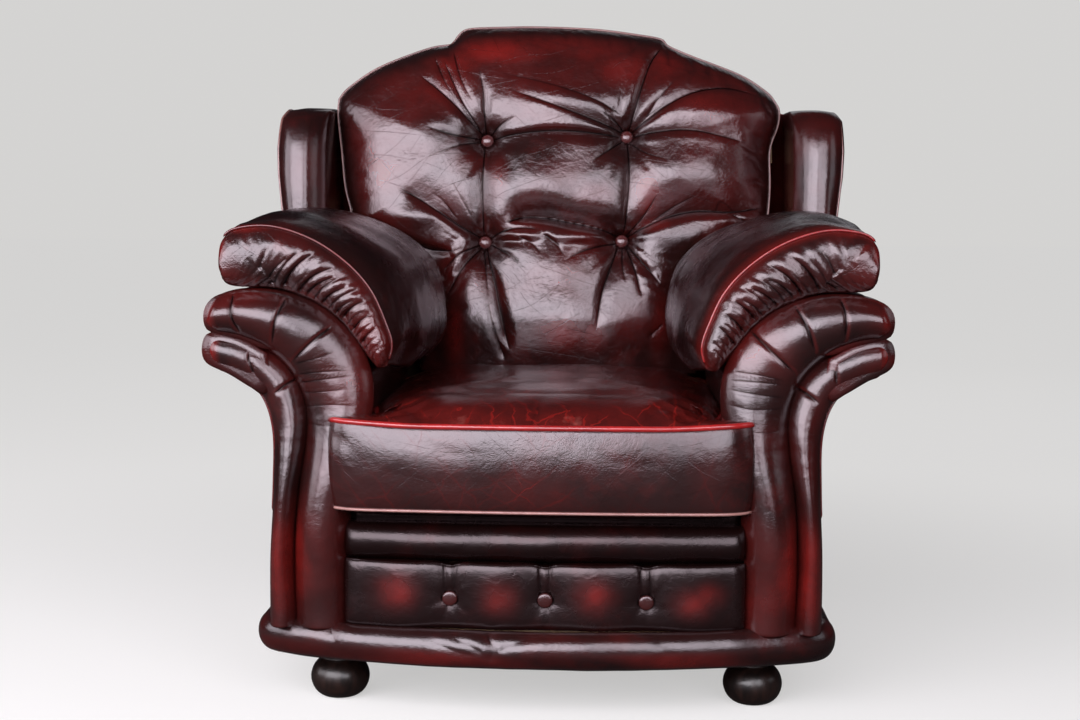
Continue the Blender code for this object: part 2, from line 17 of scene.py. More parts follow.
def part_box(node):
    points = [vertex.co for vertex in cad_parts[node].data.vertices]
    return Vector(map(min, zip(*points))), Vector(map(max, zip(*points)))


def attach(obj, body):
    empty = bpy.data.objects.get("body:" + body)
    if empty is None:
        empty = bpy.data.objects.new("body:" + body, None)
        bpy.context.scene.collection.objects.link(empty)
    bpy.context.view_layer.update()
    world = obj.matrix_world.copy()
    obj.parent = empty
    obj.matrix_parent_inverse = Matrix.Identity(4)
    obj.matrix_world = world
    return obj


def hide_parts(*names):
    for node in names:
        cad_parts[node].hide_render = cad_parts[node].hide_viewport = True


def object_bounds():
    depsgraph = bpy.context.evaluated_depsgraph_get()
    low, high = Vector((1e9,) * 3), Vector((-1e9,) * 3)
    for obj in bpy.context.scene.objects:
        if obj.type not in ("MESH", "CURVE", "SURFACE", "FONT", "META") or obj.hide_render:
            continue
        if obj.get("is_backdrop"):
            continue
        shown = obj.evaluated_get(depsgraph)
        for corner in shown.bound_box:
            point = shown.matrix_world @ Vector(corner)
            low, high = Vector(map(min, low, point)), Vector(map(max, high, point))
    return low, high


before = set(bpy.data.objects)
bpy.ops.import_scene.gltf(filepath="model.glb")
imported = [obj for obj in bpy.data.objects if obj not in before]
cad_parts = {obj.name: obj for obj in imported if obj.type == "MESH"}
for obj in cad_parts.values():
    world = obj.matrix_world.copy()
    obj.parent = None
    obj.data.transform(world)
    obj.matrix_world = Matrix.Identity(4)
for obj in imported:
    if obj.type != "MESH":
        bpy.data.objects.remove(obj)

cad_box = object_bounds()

scene = bpy.context.scene
print("CAD nodes:", len(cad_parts))

# %% [markdown]
# The camera stands in front of the chair at about the height of its back, and looks slightly
# down. A fairly long lens keeps the arms from looking swollen.

# %% Camera
CAMERA_PLACE = (0.079, -2.785, 0.720)
CAMERA_YAW, CAMERA_PITCH, CAMERA_ROLL = (math.radians(a) for a in (2.11, -5.16, 0.45))

camera_data = bpy.data.cameras.new("camera")
camera_data.lens = 57.2
camera_data.sensor_width = 36.0
camera = bpy.data.objects.new("camera", camera_data)
scene.collection.objects.link(camera)
turn = Matrix.Rotation(CAMERA_YAW, 4, "Z") @ Matrix.Rotation(math.pi / 2 + CAMERA_PITCH, 4, "X")
camera.matrix_world = Matrix.Translation(CAMERA_PLACE) @ turn @ Matrix.Rotation(CAMERA_ROLL, 4, "Z")
scene.camera = camera
scene.view_settings.view_transform = "Standard"

# %% [markdown]
# Shader nodes are added through a few short helpers. A value that goes into a socket is a
# number, a colour or another node's socket.


# %% Shader helpers
def feed(tree, target, inputs):
    """Sets or links sockets of a node, which are given by name or number."""
    for name, value in inputs.items():
        socket = target.inputs[name]
        if isinstance(value, bpy.types.NodeSocket):
            tree.links.new(value, socket)
        else:
            socket.default_value = value
    return target


def node(tree, kind, inputs=None, **settings):
    made = tree.nodes.new("ShaderNode" + kind)
    for name, value in settings.items():
        setattr(made, name, value)
    return feed(tree, made, inputs or {})


def calc(tree, operation, *values, clamp=False):
    return node(tree, "Math", dict(enumerate(values)), operation=operation, use_clamp=clamp).outputs[0]


def times(tree, first, *others):
    for other in others:
        first = calc(tree, "MULTIPLY", first, other)
    return first


def largest(tree, first, *others):
    for other in others:
        first = calc(tree, "MAXIMUM", first, other)
    return first


def ramp(tree, value, low, high, to_low=0.0, to_high=1.0):
    """Maps low..high smoothly to another range."""
    inputs = {"Value": value, "From Min": low, "From Max": high, "To Min": to_low, "To Max": to_high}
    return node(tree, "MapRange", inputs, interpolation_type="SMOOTHSTEP").outputs["Result"]


def mix(tree, share, first, second, data_type="RGBA"):
    """Blends two colours, or two numbers if data_type is FLOAT."""
    kind = "Color" if data_type == "RGBA" else "Float"
    made = node(tree, "Mix", data_type=data_type)
    by_id = {socket.identifier: number for number, socket in enumerate(made.inputs)}
    feed(tree, made, {by_id["Factor_Float"]: share, by_id[f"A_{kind}"]: first, by_id[f"B_{kind}"]: second})
    return next(socket for socket in made.outputs if socket.identifier == f"Result_{kind}")


def noise(tree, where, scale, detail=3.0, roughness=0.5, distortion=0.0):
    inputs = {
        "Vector": where, "Scale": scale, "Detail": detail, "Roughness": roughness, "Distortion": distortion,
    }
    return node(tree, "TexNoise", inputs).outputs["Fac"]


def bump(tree, height):
    return node(tree, "Bump", {"Strength": 1.0, "Distance": 1.0, "Height": height}).outputs[0]


def new_material(name):
    """A material's tree, its Principled shader and the object's own coordinates."""
    made = bpy.data.materials.new(name)
    made.use_nodes = True
    tree = made.node_tree
    return made, tree, tree.nodes["Principled BSDF"], node(tree, "TexCoord").outputs["Object"]


# %% [markdown]
# Old leather shows its shape by its highlights, so the studio has broad soft lights in front,
# weaker ones at the sides and one behind. The floor is plain and pale. Near the chair more of
# its brightness is lamp light, so the chair's shadow shows.


# %% Floor and lights
def lamp(name, place, target, size, watts, colour):
    data = bpy.data.lights.new(name, "AREA")
    data.shape = "RECTANGLE"
    data.size, data.size_y = size
    data.energy = watts
    data.color = colour
    made = bpy.data.objects.new(name, data)
    made.location = place
    made.rotation_euler = (Vector(target) - Vector(place)).to_track_quat("-Z", "Y").to_euler()
    scene.collection.objects.link(made)


floor_mesh = bmesh.new()
bmesh.ops.create_grid(floor_mesh, x_segments=1, y_segments=1, size=30)
floor_data = bpy.data.meshes.new("floor")
floor_mesh.to_mesh(floor_data)
floor_mesh.free()
floor = bpy.data.objects.new("floor", floor_data)
scene.collection.objects.link(floor)

floor_finish, tree, shader, where = new_material("pale_floor")
seen_by = node(tree, "LightPath").outputs["Is Camera Ray"]
from_chair = node(tree, "VectorMath", {0: where}, operation="LENGTH").outputs["Value"]
far = ramp(tree, from_chair, 0.5, 2.2)
seen_tone = mix(tree, far, (0.42, 0.415, 0.408, 1), (0.22, 0.217, 0.214, 1))
glow = calc(tree, "MULTIPLY_ADD", far, 0.150, 0.500)
feed(tree, shader, {
    "Base Color": mix(tree, seen_by, (0.045, 0.043, 0.042, 1), seen_tone),
    "Roughness": 0.9,
    "Emission Color": (1.0, 0.99, 0.98, 1),
    "Emission Strength": times(tree, seen_by, glow),
})
floor_data.materials.append(floor_finish)
floor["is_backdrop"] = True

world = bpy.data.worlds.new("studio")
scene.world = world
world.use_nodes = True
tree = world.node_tree
tree.nodes.clear()
seen_by = node(tree, "LightPath").outputs["Is Camera Ray"]
lit = node(tree, "Background", {"Color": (0.018, 0.017, 0.020, 1), "Strength": 1.0}).outputs[0]
seen = node(tree, "Background", {"Color": (0.66, 0.653, 0.645, 1), "Strength": 1.0}).outputs[0]
mixed = node(tree, "MixShader", {"Fac": seen_by, 1: lit, 2: seen})
node(tree, "OutputWorld", {"Surface": mixed.outputs[0]})

COOL = (0.98, 0.94, 1.0)
lamp("left_panel", (-1.35, -2.90, 1.60), (-0.1, 0, 0.8), (3.7, 2.1), 184, COOL)
lamp("right_panel", (1.25, -2.95, 1.62), (0.1, 0, 0.8), (1.5, 2.1), 52, COOL)
lamp("low_panel", (-0.80, -3.00, 0.42), (-0.2, 0, 0.4), (0.9, 0.30), 2, COOL)
lamp("side", (2.6, -0.8, 1.4), (0, 0, 0.5), (1.0, 1.5), 5, (0.94, 0.95, 1.0))
lamp("other_side", (-2.9, -0.9, 1.4), (0, 0, 0.6), (1.6, 1.9), 34, COOL)
lamp("rear", (0.6, 4.4, 2.4), (0, 0.3, 0.6), (3.0, 1.4), 7, (0.95, 0.96, 1.0))

# %% [markdown]
# The leather. It was dyed deep red and then wiped with a nearly black finish, which hands and
# clothes have rubbed off again. So each leather piece carries a wear attribute, from 0 to 1, that
# says where the red shows, and one node group turns it into colour, roughness and a height for
# the bump: pebbled grain, fine wrinkles and a net of cracks. The group also paints shade: in the
# lines of the folds, in fine creases and where a painted shade attribute says, it darkens the
# colour towards black and dims the reflection.


# %% The leather group
SHADE_AND_SCRATCH_BLACK = (0.0040, 0.0012, 0.0012, 1)
RUBBED_PALE = (0.50, 0.18, 0.15, 1)
# Turn and spacing of each set of lines: fine creases, and the scratches that show red
HAIR_SETS = [
    ((0.3, 0.8, 0.2), 9.0), ((-0.5, -0.6, 1.1), 12.0), ((1.1, 0.2, -0.7), 10.0), ((0.2, -0.2, 0.4), 7.0),
]
SCRATCH_SETS = [
    ((0.3, 0.55, 0.2), 9.5), ((-0.2, -0.60, 0.5), 11.0), ((0.2, 1.15, 0.9), 8.5), ((0.1, -1.0, 1.6), 9.0),
]
GROUP_INPUTS = {
    "Vector": ("Vector", None), "Wear": ("Float", 0.0), "Crease": ("Float", 0.0), "Fold": ("Float", 0.0),
    "Fold Strength": ("Float", 0.0), "Cracks": ("Float", 0.2), "Crackled": ("Float", 0.0),
    "Scratches": ("Float", 0.0), "Wrinkles": ("Float", 0.5), "Hairlines": ("Float", 0.5),
    "Dark": ("Color", (0.0100, 0.0038, 0.0035, 1)), "Red": ("Color", (0.160, 0.0085, 0.0068, 1)),
}
GROUP_OUTPUTS = {
    "Roughness": ("Float", None), "Metallic": ("Float", None), "Coat": ("Float", None),
    "Height": ("Float", None), "Color": ("Color", None),
}


def group_with(name, inputs, outputs):
    made = bpy.data.node_groups.new(name, "ShaderNodeTree")
    for way, sockets in (("INPUT", inputs), ("OUTPUT", outputs)):
        for label, (kind, value) in sockets.items():
            socket = made.interface.new_socket(name=label, in_out=way, socket_type="NodeSocket" + kind)
            if value is not None:
                socket.default_value = value
    return made, made.nodes.new("NodeGroupInput"), made.nodes.new("NodeGroupOutput")


def crossing_lines(tree, where, turn, spacing, thickness):
    """Long thin lines that wander and break off, in one direction, and a soft band beside each."""
    mapping = node(tree, "Mapping", {"Vector": where, "Rotation": turn, "Location": turn})
    inputs = {
        "Vector": mapping.outputs[0], "Scale": spacing, "Distortion": 3.0, "Detail": 1.0, "Detail Scale": 0.8,
    }
    wave = node(tree, "TexWave", inputs, bands_direction="Z", wave_profile="TRI").outputs["Fac"]
    broken = ramp(tree, noise(tree, mapping.outputs[0], 8.0, 2.0), 0.46, 0.60)
    return [times(tree, ramp(tree, wave, 1.0 - reach * thickness, 1.0), broken) for reach in (1, 3.0)]


def make_leather_group():
    tree, given, result = group_with("antiqued_leather", GROUP_INPUTS, GROUP_OUTPUTS)
    given = {socket.name: socket for socket in given.outputs}
    where, wear, fold = given["Vector"], given["Wear"], given["Fold"]

    # Cells whose edges wander: the net of cracks. Fine creases cross the leather's smooth stretches
    shift = node(tree, "TexNoise", {"Vector": where, "Scale": 18.0, "Detail": 3.0}).outputs["Color"]
    scaled = node(tree, "VectorMath", {0: shift, "Scale": 0.040}, operation="SCALE").outputs[0]
    wander = node(tree, "VectorMath", {0: where, 1: scaled}, operation="ADD").outputs[0]
    cells = node(tree, "TexVoronoi", {"Vector": wander, "Scale": 44.0}, feature="DISTANCE_TO_EDGE")
    broad = noise(tree, where, 7.0, 2.0)
    fine = noise(tree, where, 34.0, 5.0, 0.6)
    net = ramp(tree, cells.outputs["Distance"], 0.0, 0.030, 1.0, 0.0)
    cracks = times(tree, net, ramp(tree, broad, 0.40, 0.60), given["Cracks"])
    hairs = [crossing_lines(tree, where, turn, spacing, 0.030)[0] for turn, spacing in HAIR_SETS]
    creased = times(tree, largest(tree, *hairs), given["Hairlines"])

    # How much red shows: the wear attribute, broken up by mottling, or drawn in lines
    mottle = calc(tree, "ADD", times(tree, broad, 0.55), times(tree, fine, 0.45))
    base_red = ramp(tree, mottle, 0.47, 0.70, 0.03, 0.20)
    broken = ramp(tree, fine, 0.30, 0.62, 0.78, 1.12)
    pairs = [crossing_lines(tree, wander, turn, spacing, 0.045) for turn, spacing in SCRATCH_SETS]
    scratches = times(tree, largest(tree, *[thin for thin, _ in pairs]), given["Scratches"])
    in_lines = calc(tree, "MULTIPLY_ADD", largest(tree, *[soft for _, soft in pairs]), 0.70, 0.30)
    pattern = mix(tree, given["Crackled"], broken, times(tree, in_lines, broken), "FLOAT")
    marks = largest(tree, times(tree, cracks, 0.55), times(tree, scratches, wear, 0.45))
    redness = calc(tree, "ADD", largest(tree, base_red, times(tree, wear, pattern)), marks, clamp=True)
    pale = times(tree, ramp(tree, wear, 0.85, 1.0), ramp(tree, fine, 0.55, 0.75), 0.22)
    colour = mix(tree, pale, mix(tree, redness, given["Dark"], given["Red"]), RUBBED_PALE)

    # A fold's line stays crisp at any distance from the mesh's points: "Fold" is how far the
    # line is, in centimetres, with a sign for the side
    # The fold's line is painted shade: it darkens the colour and dims the reflection
    line = calc(tree, "EXPONENT", times(tree, times(tree, fold, fold), -55.0))
    line = times(tree, line, given["Fold Strength"])
    groove = calc(tree, "EXPONENT", times(tree, calc(tree, "ABSOLUTE", fold), -5.5))
    groove = times(tree, groove, given["Fold Strength"])
    # shade holds the painted shade of fine creases, fold lines and the painted shade attribute, and the dark
    # colour of scratches
    dark_scratches = times(tree, calc(tree, "SUBTRACT", scratches, wear, clamp=True), 0.40)
    in_painted_shade = times(tree, given["Crease"], 0.75)
    shade = largest(tree, times(tree, creased, 0.36), dark_scratches, times(tree, line, 0.92), in_painted_shade)

    # Roughness: polished by use, with duller patches
    dull = ramp(tree, noise(tree, where, 22.0, 4.0, 0.6), 0.35, 0.70)
    deep_painted_shade = largest(tree, line, given["Crease"])
    rough = calc(tree, "MULTIPLY_ADD", dull, 0.06, 0.195)

    # Height in metres: pebbled grain, soft wrinkles, and fine creases and cracks cut in
    inputs = {"Vector": where, "Scale": 560.0, "Smoothness": 0.5}
    pebbles = node(tree, "TexVoronoi", inputs, feature="SMOOTH_F1")
    grain = times(tree, pebbles.outputs["Distance"], -0.00013)
    crumple = times(tree, noise(tree, where, 210.0, 2.0, 0.5, 0.3), 0.00030)
    folds = times(tree, noise(tree, where, 85.0, 3.0, 0.55, 0.6), 0.00075)
    swell = times(tree, noise(tree, where, 30.0, 2.0, 0.5, 0.3), 0.00150)
    wrinkle = calc(tree, "ADD", calc(tree, "ADD", folds, swell), crumple)
    height = calc(tree, "MULTIPLY_ADD", wrinkle, given["Wrinkles"], grain)
    for cut, depth in ((creased, -0.00011), (cracks, -0.0005), (scratches, -0.00002), (groove, -0.0009)):
        height = calc(tree, "MULTIPLY_ADD", cut, depth, height)

    # Painted shade: in fold lines, fine creases and where the painted shade attribute says, the colour goes
    # towards near-black, and a black metallic with less coat sends little light back. Dark scratches take the
    # same black as their own colour.
    feed(tree, result, {
        "Color": mix(tree, shade, colour, SHADE_AND_SCRATCH_BLACK),
        "Roughness": calc(tree, "MULTIPLY_ADD", deep_painted_shade, 0.07, rough, clamp=True),
        "Coat": calc(tree, "MULTIPLY_ADD", shade, -0.3, 0.3, clamp=True),
        "Metallic": largest(tree, times(tree, deep_painted_shade, 0.9), times(tree, shade, 0.5)),
        "Height": height,
    })
    return tree


LEATHER_GROUP = make_leather_group()


def leather(name, **values):
    """A leather material. The keywords set the group's inputs, such as Cracks or Scratches."""
    made, tree, shader, where = new_material(name)
    painted = {
        label: node(tree, "Attribute", attribute_name=label.lower().replace(" ", "_")).outputs["Fac"]
        for label in ("Wear", "Crease", "Fold", "Fold Strength")
    }
    group = node(tree, "Group", {"Vector": where, **painted, **values}, node_tree=LEATHER_GROUP).outputs
    feed(tree, shader, {
        "Base Color": group["Color"],
        "Roughness": group["Roughness"],
        "Normal": bump(tree, group["Height"]),
        "Coat Weight": group["Coat"],
        "Metallic": group["Metallic"],
        "Coat Roughness": 0.18,
        "Specular IOR Level": 0.70,
        "Specular Tint": (1.0, 0.92, 0.98, 1),
    })
    return made


SMOOTH_LEATHER = leather("smooth_leather", Cracks=0.03, Wrinkles=0.55, Hairlines=0.35)
SOFT_LEATHER = leather("soft_leather", Cracks=0.08, Wrinkles=1.0, Hairlines=1.0, Scratches=0.25)
SEAT_LEATHER = leather("seat_leather", Cracks=0.08, Crackled=0.80, Scratches=1.2, Wrinkles=0.5, Hairlines=0.6)
PIPING_LEATHER = leather("piping_leather", Cracks=0.2, Wrinkles=0.1, Red=(0.34, 0.014, 0.014, 1))
# The pale piping's light colour is partly rubbed wear and partly a painted highlight along the thin cord
PALE_PIPING = leather(
    "pale_piping_leather", Cracks=0.1, Wrinkles=0.1, Red=(0.34, 0.17, 0.15, 1), Dark=(0.06, 0.02, 0.02, 1)
)
print("materials:", len(bpy.data.materials))

# %% [markdown]
# Every padded piece starts in the same way. A flat grid is made first, and each of its points is
# then placed by a function of two shares, across and along, so the leather's grain of quads runs
# with the piece. Points that meet, at a pole or where a grid closes on itself, are merged.


# %% Curves and surfaces
LEAN = 0.201
BASE_TOP = 0.130
MERGE_DISTANCE = 3e-5
SIDES = (("left", -1), ("right", 1))


def mm(values):
    """Millimetres as metres."""
    return np.array(values, float) / 1000


def stack(*columns):
    return np.column_stack(np.broadcast_arrays(*columns))


def even(line, count):
    """The same line with even points."""
    length = np.concatenate([[0], np.cumsum(np.linalg.norm(np.diff(line, axis=0), axis=1))])
    at = np.linspace(0, length[-1], count)
    return np.column_stack([np.interp(at, length, column) for column in line.T])


def smooth_path(points, count):
    """Even points on a smooth curve through the given ones."""
    p = np.array(points, float)
    p = np.vstack([2 * p[0] - p[1], p, 2 * p[-1] - p[-2]])
    t = np.linspace(0, 1, 24, endpoint=False)[:, None]
    spans = [
        0.5 * (2 * b + (c - a) * t + (2 * a - 5 * b + 4 * c - d) * t**2 + (3 * b - 3 * c + d - a) * t**3)
        for a, b, c, d in zip(p, p[1:], p[2:], p[3:])
    ]
    return even(np.vstack(spans + [p[-2:-1]]), count)


def curve(points, count):
    return smooth_path(mm(points), count)


def joined(*paths, count):
    """Several paths end to end, with even points again."""
    return even(np.vstack([path if i == 0 else path[1:] for i, path in enumerate(paths)]), count)


def sample(path, share):
    """The place at each share of an even path."""
    at = np.clip(share, 0, 1) * (len(path) - 1)
    return np.column_stack([np.interp(at, np.arange(len(path)), column) for column in path.T])


def smoothstep(value, low, high):
    t = np.clip((value - low) / (high - low), 0, 1)
    return t * t * (3 - 2 * t)


def bell(value, width):
    """1 at 0, and falling away smoothly to both sides."""
    return np.exp(-((value / width) ** 2))


def power(value, exponent):
    """A power that keeps the sign."""
    return np.sign(value) * np.abs(value) ** exponent


def to_end(share):
    """How far a share is from the nearer of 0 and 1."""
    return np.minimum(share, 1 - share)


def back_y(depth, height):
    """The y of a layer of the leaning back at a height."""
    return depth + LEAN * (height - BASE_TOP)


def on_back(depth, flat):
    """Points in x and z, laid on a layer of the leaning back."""
    return stack(flat[:, 0], back_y(depth, flat[:, 1]), flat[:, 1])


def surface(across, along, place):
    """A grid whose points are placed by place(s, t), with both shares from 0 to 1."""
    edit = bmesh.new()
    bmesh.ops.create_grid(edit, x_segments=across, y_segments=along, size=0.5)
    shares = np.array([vert.co[:2] for vert in edit.verts]) + 0.5
    for vert, point in zip(edit.verts, place(shares[:, 0], shares[:, 1])):
        vert.co = point
    return edit


def merged(*edits, side=1):
    """One closed skin from several grids whose edges meet. A side of -1 mirrors it."""
    whole = edits[0]
    for other in edits[1:]:
        spare = bpy.data.meshes.new("spare")
        other.to_mesh(spare)
        other.free()
        whole.from_mesh(spare)
        bpy.data.meshes.remove(spare)
    bmesh.ops.remove_doubles(whole, verts=whole.verts, dist=MERGE_DISTANCE)
    bmesh.ops.recalc_face_normals(whole, faces=whole.faces)
    return mirror_x(whole, side)


def mirror_x(edit, side):
    """Turns a right-hand shape into a left-hand one."""
    if side < 0:
        bmesh.ops.scale(edit, vec=(-1, 1, 1), verts=edit.verts)
        bmesh.ops.reverse_faces(edit, faces=edit.faces)
    return edit


def filled(edit):
    """Closes a skin whose edge is still open."""
    bmesh.ops.holes_fill(edit, edges=[e for e in edit.edges if e.is_boundary], sides=0)
    bmesh.ops.recalc_face_normals(edit, faces=edit.faces)
    return edit


def piece(name, edit, material, stands_for, levels=0):
    """Makes a bmesh a finished piece, which rides on the chair and stands for CAD nodes."""
    mesh = bpy.data.meshes.new(name)
    edit.to_mesh(mesh)
    edit.free()
    mesh.shade_smooth()
    mesh.materials.append(material)
    made = bpy.data.objects.new(name, mesh)
    scene.collection.objects.link(made)
    if levels:
        subdivide(made, levels)
    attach(made, "root")
    if stands_for:
        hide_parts(*stands_for)
    print(name, len(made.data.polygons), "faces")
    return made


def skin(name, edit, material=None, stands_for=True):
    """A padded leather piece, which stands for the CAD node of its name."""
    nodes = (name,) if stands_for else ()
    return piece(name, edit, material or SMOOTH_LEATHER, nodes)


def subdivide(made, levels=1):
    """Applies a subdivision surface."""
    modifier = made.modifiers.new("smooth", "SUBSURF")
    modifier.levels = modifier.render_levels = levels
    depsgraph = bpy.context.evaluated_depsgraph_get()
    depsgraph.update()
    finished = bpy.data.meshes.new_from_object(made.evaluated_get(depsgraph))
    finished.name = made.name
    made.modifiers.clear()
    made.data = finished
    finished.shade_smooth()


def points_of(made):
    """The points and outward normals of a piece, as arrays."""
    arrays = []
    for label in ("co", "normal"):
        values = np.empty(len(made.data.vertices) * 3)
        made.data.vertices.foreach_get(label, values)
        arrays.append(values.reshape(-1, 3))
    return arrays


def place_points(made, points):
    made.data.vertices.foreach_set("co", points.ravel())
    made.data.update()


def paint(made, **shares):
    """Stores a share or one per point, such as how worn the leather is there."""
    for label, values in shares.items():
        values = np.broadcast_to(values, len(made.data.vertices))
        attribute = made.data.attributes.get(label) or made.data.attributes.new(label, "FLOAT", "POINT")
        least = -1 if label == "fold" else 0
        attribute.data.foreach_set("value", np.clip(values, least, 1).astype(np.float32))


def paint_folds(made, lines, share=1.0, strength=1.0):
    """Stores the crisp lines of the folds, which the leather darkens as painted shade and sinks."""
    paint(made, fold=lines[0], fold_strength=np.clip(lines[1] * strength, 0, 1) * share)


def front_view(points, side=1):
    return stack(side * points[:, 0], points[:, 2])


def tube(name, path, radius, wear, material=None, closed=False, patches=0.0, scale=12.0):
    """A round cord of leather along a path, with rounded ends."""
    path = np.array(path)
    if closed:
        path = np.vstack([path, path[:1]])
    tangent = np.gradient(path, axis=0)
    if closed:
        tangent[0] = tangent[-1] = path[1] - path[-2]
    tangent /= np.linalg.norm(tangent, axis=1)[:, None]
    first = np.cross(tangent[0], [0.0, 1.0, 0.0]) + 1e-9
    frames = [first / np.linalg.norm(first)]
    for way in tangent[1:]:
        across = frames[-1] - way * (frames[-1] @ way)
        frames.append(across / np.linalg.norm(across))
    first = np.array(frames)
    second = np.cross(tangent, first)
    size = np.full(len(path), radius)
    if not closed:
        size[0] = size[-1] = 0.0

    def place(s, t):
        spot, one, two = sample(path, t), sample(first, t), sample(second, t)
        width = sample(size[:, None], t)
        angle = (s * math.tau)[:, None]
        return spot + width * (one * np.cos(angle) + two * np.sin(angle))

    edit = merged(surface(8, len(path) - 1, place))
    made = piece(name, edit, material or PIPING_LEATHER, ())
    paint(made, wear=mottled(points_of(made)[0], wear, patches, 0.0, scale))


# %% [markdown]
# Leather that is pulled down by buttons folds along lines. A fold is a path on the front of the
# piece with a width, a depth at each end, and a softer and a harder side. The folds that meet at
# a point don't add up: the deepest one wins, smoothly.


# %% Folds and rubbed places
def folds_of(rows):
    """Folds from rows in millimetres: (path, width, start depth, end depth, bias)."""
    return [
        (mm(path), width / 1000, start / 1000, end / 1000, bias)
        for path, width, start, end, bias in rows
    ]


def nearest(points, path):
    """Each flat point's distance to a path, its side (-1 or 1) and its share along the path."""
    steps = np.diff(path, axis=0)
    lengths = np.linalg.norm(steps, axis=1)
    starts = np.concatenate([[0], np.cumsum(lengths)])
    distance = np.full(len(points), 1e9)
    side = np.zeros(len(points))
    share = np.zeros(len(points))
    for start, step, length, before in zip(path, steps, lengths, starts):
        offset = points - start
        along = np.clip(offset @ step / length**2, 0, 1)
        gap = offset - along[:, None] * step
        away = np.hypot(gap[:, 0], gap[:, 1])
        closer = away < distance
        distance[closer] = away[closer]
        side[closer] = np.sign(step[0] * offset[closer, 1] - step[1] * offset[closer, 0])
        share[closer] = (before + along[closer] * length) / starts[-1]
    return distance, side, share


def distance_to(points, path):
    return nearest(points, path)[0]


def fold_depth(points, folds):
    """How deep each flat point is pressed by folds, and the folds' lines.
    A bias above 0 makes the slope on the left steeper. The lines are the distance in centimetres
    to the strongest fold near each point, with a sign for its side, and that fold's strength."""
    total = np.zeros(len(points))
    gap, strength = np.ones(len(points)), np.zeros(len(points))
    for path, width, start, end, bias in folds:
        line = smooth_path(path, 4 * len(path))
        low, high = line.min(0) - 5 * width, line.max(0) + 5 * width
        near = np.flatnonzero(np.all((points > low) & (points < high), axis=1))
        distance, side, share = nearest(points[near], line)
        reach = width * (1 - bias * side)
        depth = (start + (end - start) * share) * smoothstep(1.02 - share, 0, 0.22)
        depth *= smoothstep(share + 0.06, 0, 0.08)
        total[near] += (depth * np.clip(1 - distance / (2.6 * reach), 0, 1) ** 2) ** 2.5
        strong = np.clip(depth / 0.009, 0, 1) * np.clip(1 - (distance / 0.0065) ** 2, 0, 1)
        wins = strong > strength[near]
        strength[near[wins]] = strong[wins]
        gap[near[wins]] = (distance * side)[wins] * 100
    return total**0.4, (gap, strength)


def inflate(made, held, reach, pressure=4.0, slack=0.03, frames=20):
    """Lets the filling press the leather out, as a cloth simulation. held is how firmly each
    point stays where it is, from 0 to 1, and no point moves further than reach."""
    start, _ = points_of(made)
    group = made.vertex_groups.new(name="held")
    levels = np.round(np.clip(held, 0, 1) * 10).astype(int)
    for level in range(1, 11):
        group.add(np.flatnonzero(levels == level).tolist(), level / 10, "REPLACE")
    cloth = made.modifiers.new("filling", "CLOTH")
    settings = cloth.settings
    settings.quality = 5
    settings.mass = 0.2
    settings.tension_stiffness = settings.compression_stiffness = 15.0
    settings.shear_stiffness = 5.0
    settings.bending_stiffness = 0.5
    settings.use_pressure = True
    settings.uniform_pressure_force = pressure
    settings.vertex_group_mass = "held"
    settings.shrink_min = -slack
    settings.effector_weights.gravity = 0.0
    cloth.collision_settings.use_collision = False
    cloth.point_cache.frame_start, cloth.point_cache.frame_end = 1, frames
    for frame_number in range(1, frames + 1):
        scene.frame_set(frame_number)
    pressed = made.evaluated_get(bpy.context.evaluated_depsgraph_get()).to_mesh()
    moved = np.empty(len(pressed.vertices) * 3)
    pressed.vertices.foreach_get("co", moved)
    made.modifiers.clear()
    made.vertex_groups.clear()
    scene.frame_set(1)
    step = moved.reshape(-1, 3) - start
    length = np.linalg.norm(step, axis=1)
    capped = reach * np.tanh(length / reach)
    place_points(made, start + step * (capped / np.maximum(length, 1e-9))[:, None])
    middle, most = length.mean() * 1000, length.max() * 1000
    print(f"{made.name}: the leather moved {middle:.1f} mm, at most {most:.1f} mm")


def mounds(flat, rows):
    """The heights at each point of smooth mounds: (centre, reaches, height), the first two in mm."""
    for centre, reaches, height in rows:
        yield height * np.exp(-np.sum(((flat - mm(centre)) / mm(reaches)) ** 2, axis=1))


def rubbed(flat, rows):
    """How worn each point is, from spots: (centre, reaches, strength), the first two in mm."""
    return np.maximum.reduce(list(mounds(flat, rows)))


def ripple(points, scale=1.0, seed=0.0):
    """Smooth noise from about -1 to 1 at each point, the same in every run. The scale may differ
    along x, y and z."""
    spot = np.asarray(points) * scale + seed * 7.13
    cell = np.floor(spot).astype(np.int64)
    inside = spot - cell
    ease = inside**3 * (inside * (inside * 6 - 15) + 10)
    total = np.zeros(len(spot))
    for corner in np.ndindex(2, 2, 2):
        key = ((cell + corner) * (73856093, 19349663, 83492791)).sum(axis=1) & 0xFFFFFFFF
        for shift, factor in ((15, 2246822519), (13, 3266489917), (16, 668265263)):
            key = ((key ^ (key >> shift)) * factor) & 0xFFFFFFFF
        slope = np.column_stack([((key >> shift) & 1023) / 511.5 - 1 for shift in (2, 12, 22)])
        weight = np.prod(np.where(corner, ease, 1 - ease), axis=1)
        total += weight * np.sum(slope * (inside - corner), axis=1)
    return total * 1.5


def mottled(points, middle, spread, seed, scale=12.0):
    """Wear that comes and goes over a piece."""
    return middle + spread * ripple(points, scale, seed)


# %% [markdown]
# The back is one deep cushion, tied down by four buttons. Its outline runs up between the arm
# pads, out over them, up the sides to the shoulders, and over a raised crest between two notches.
# From that outline the leather swells forward, and each button pulls it back in.

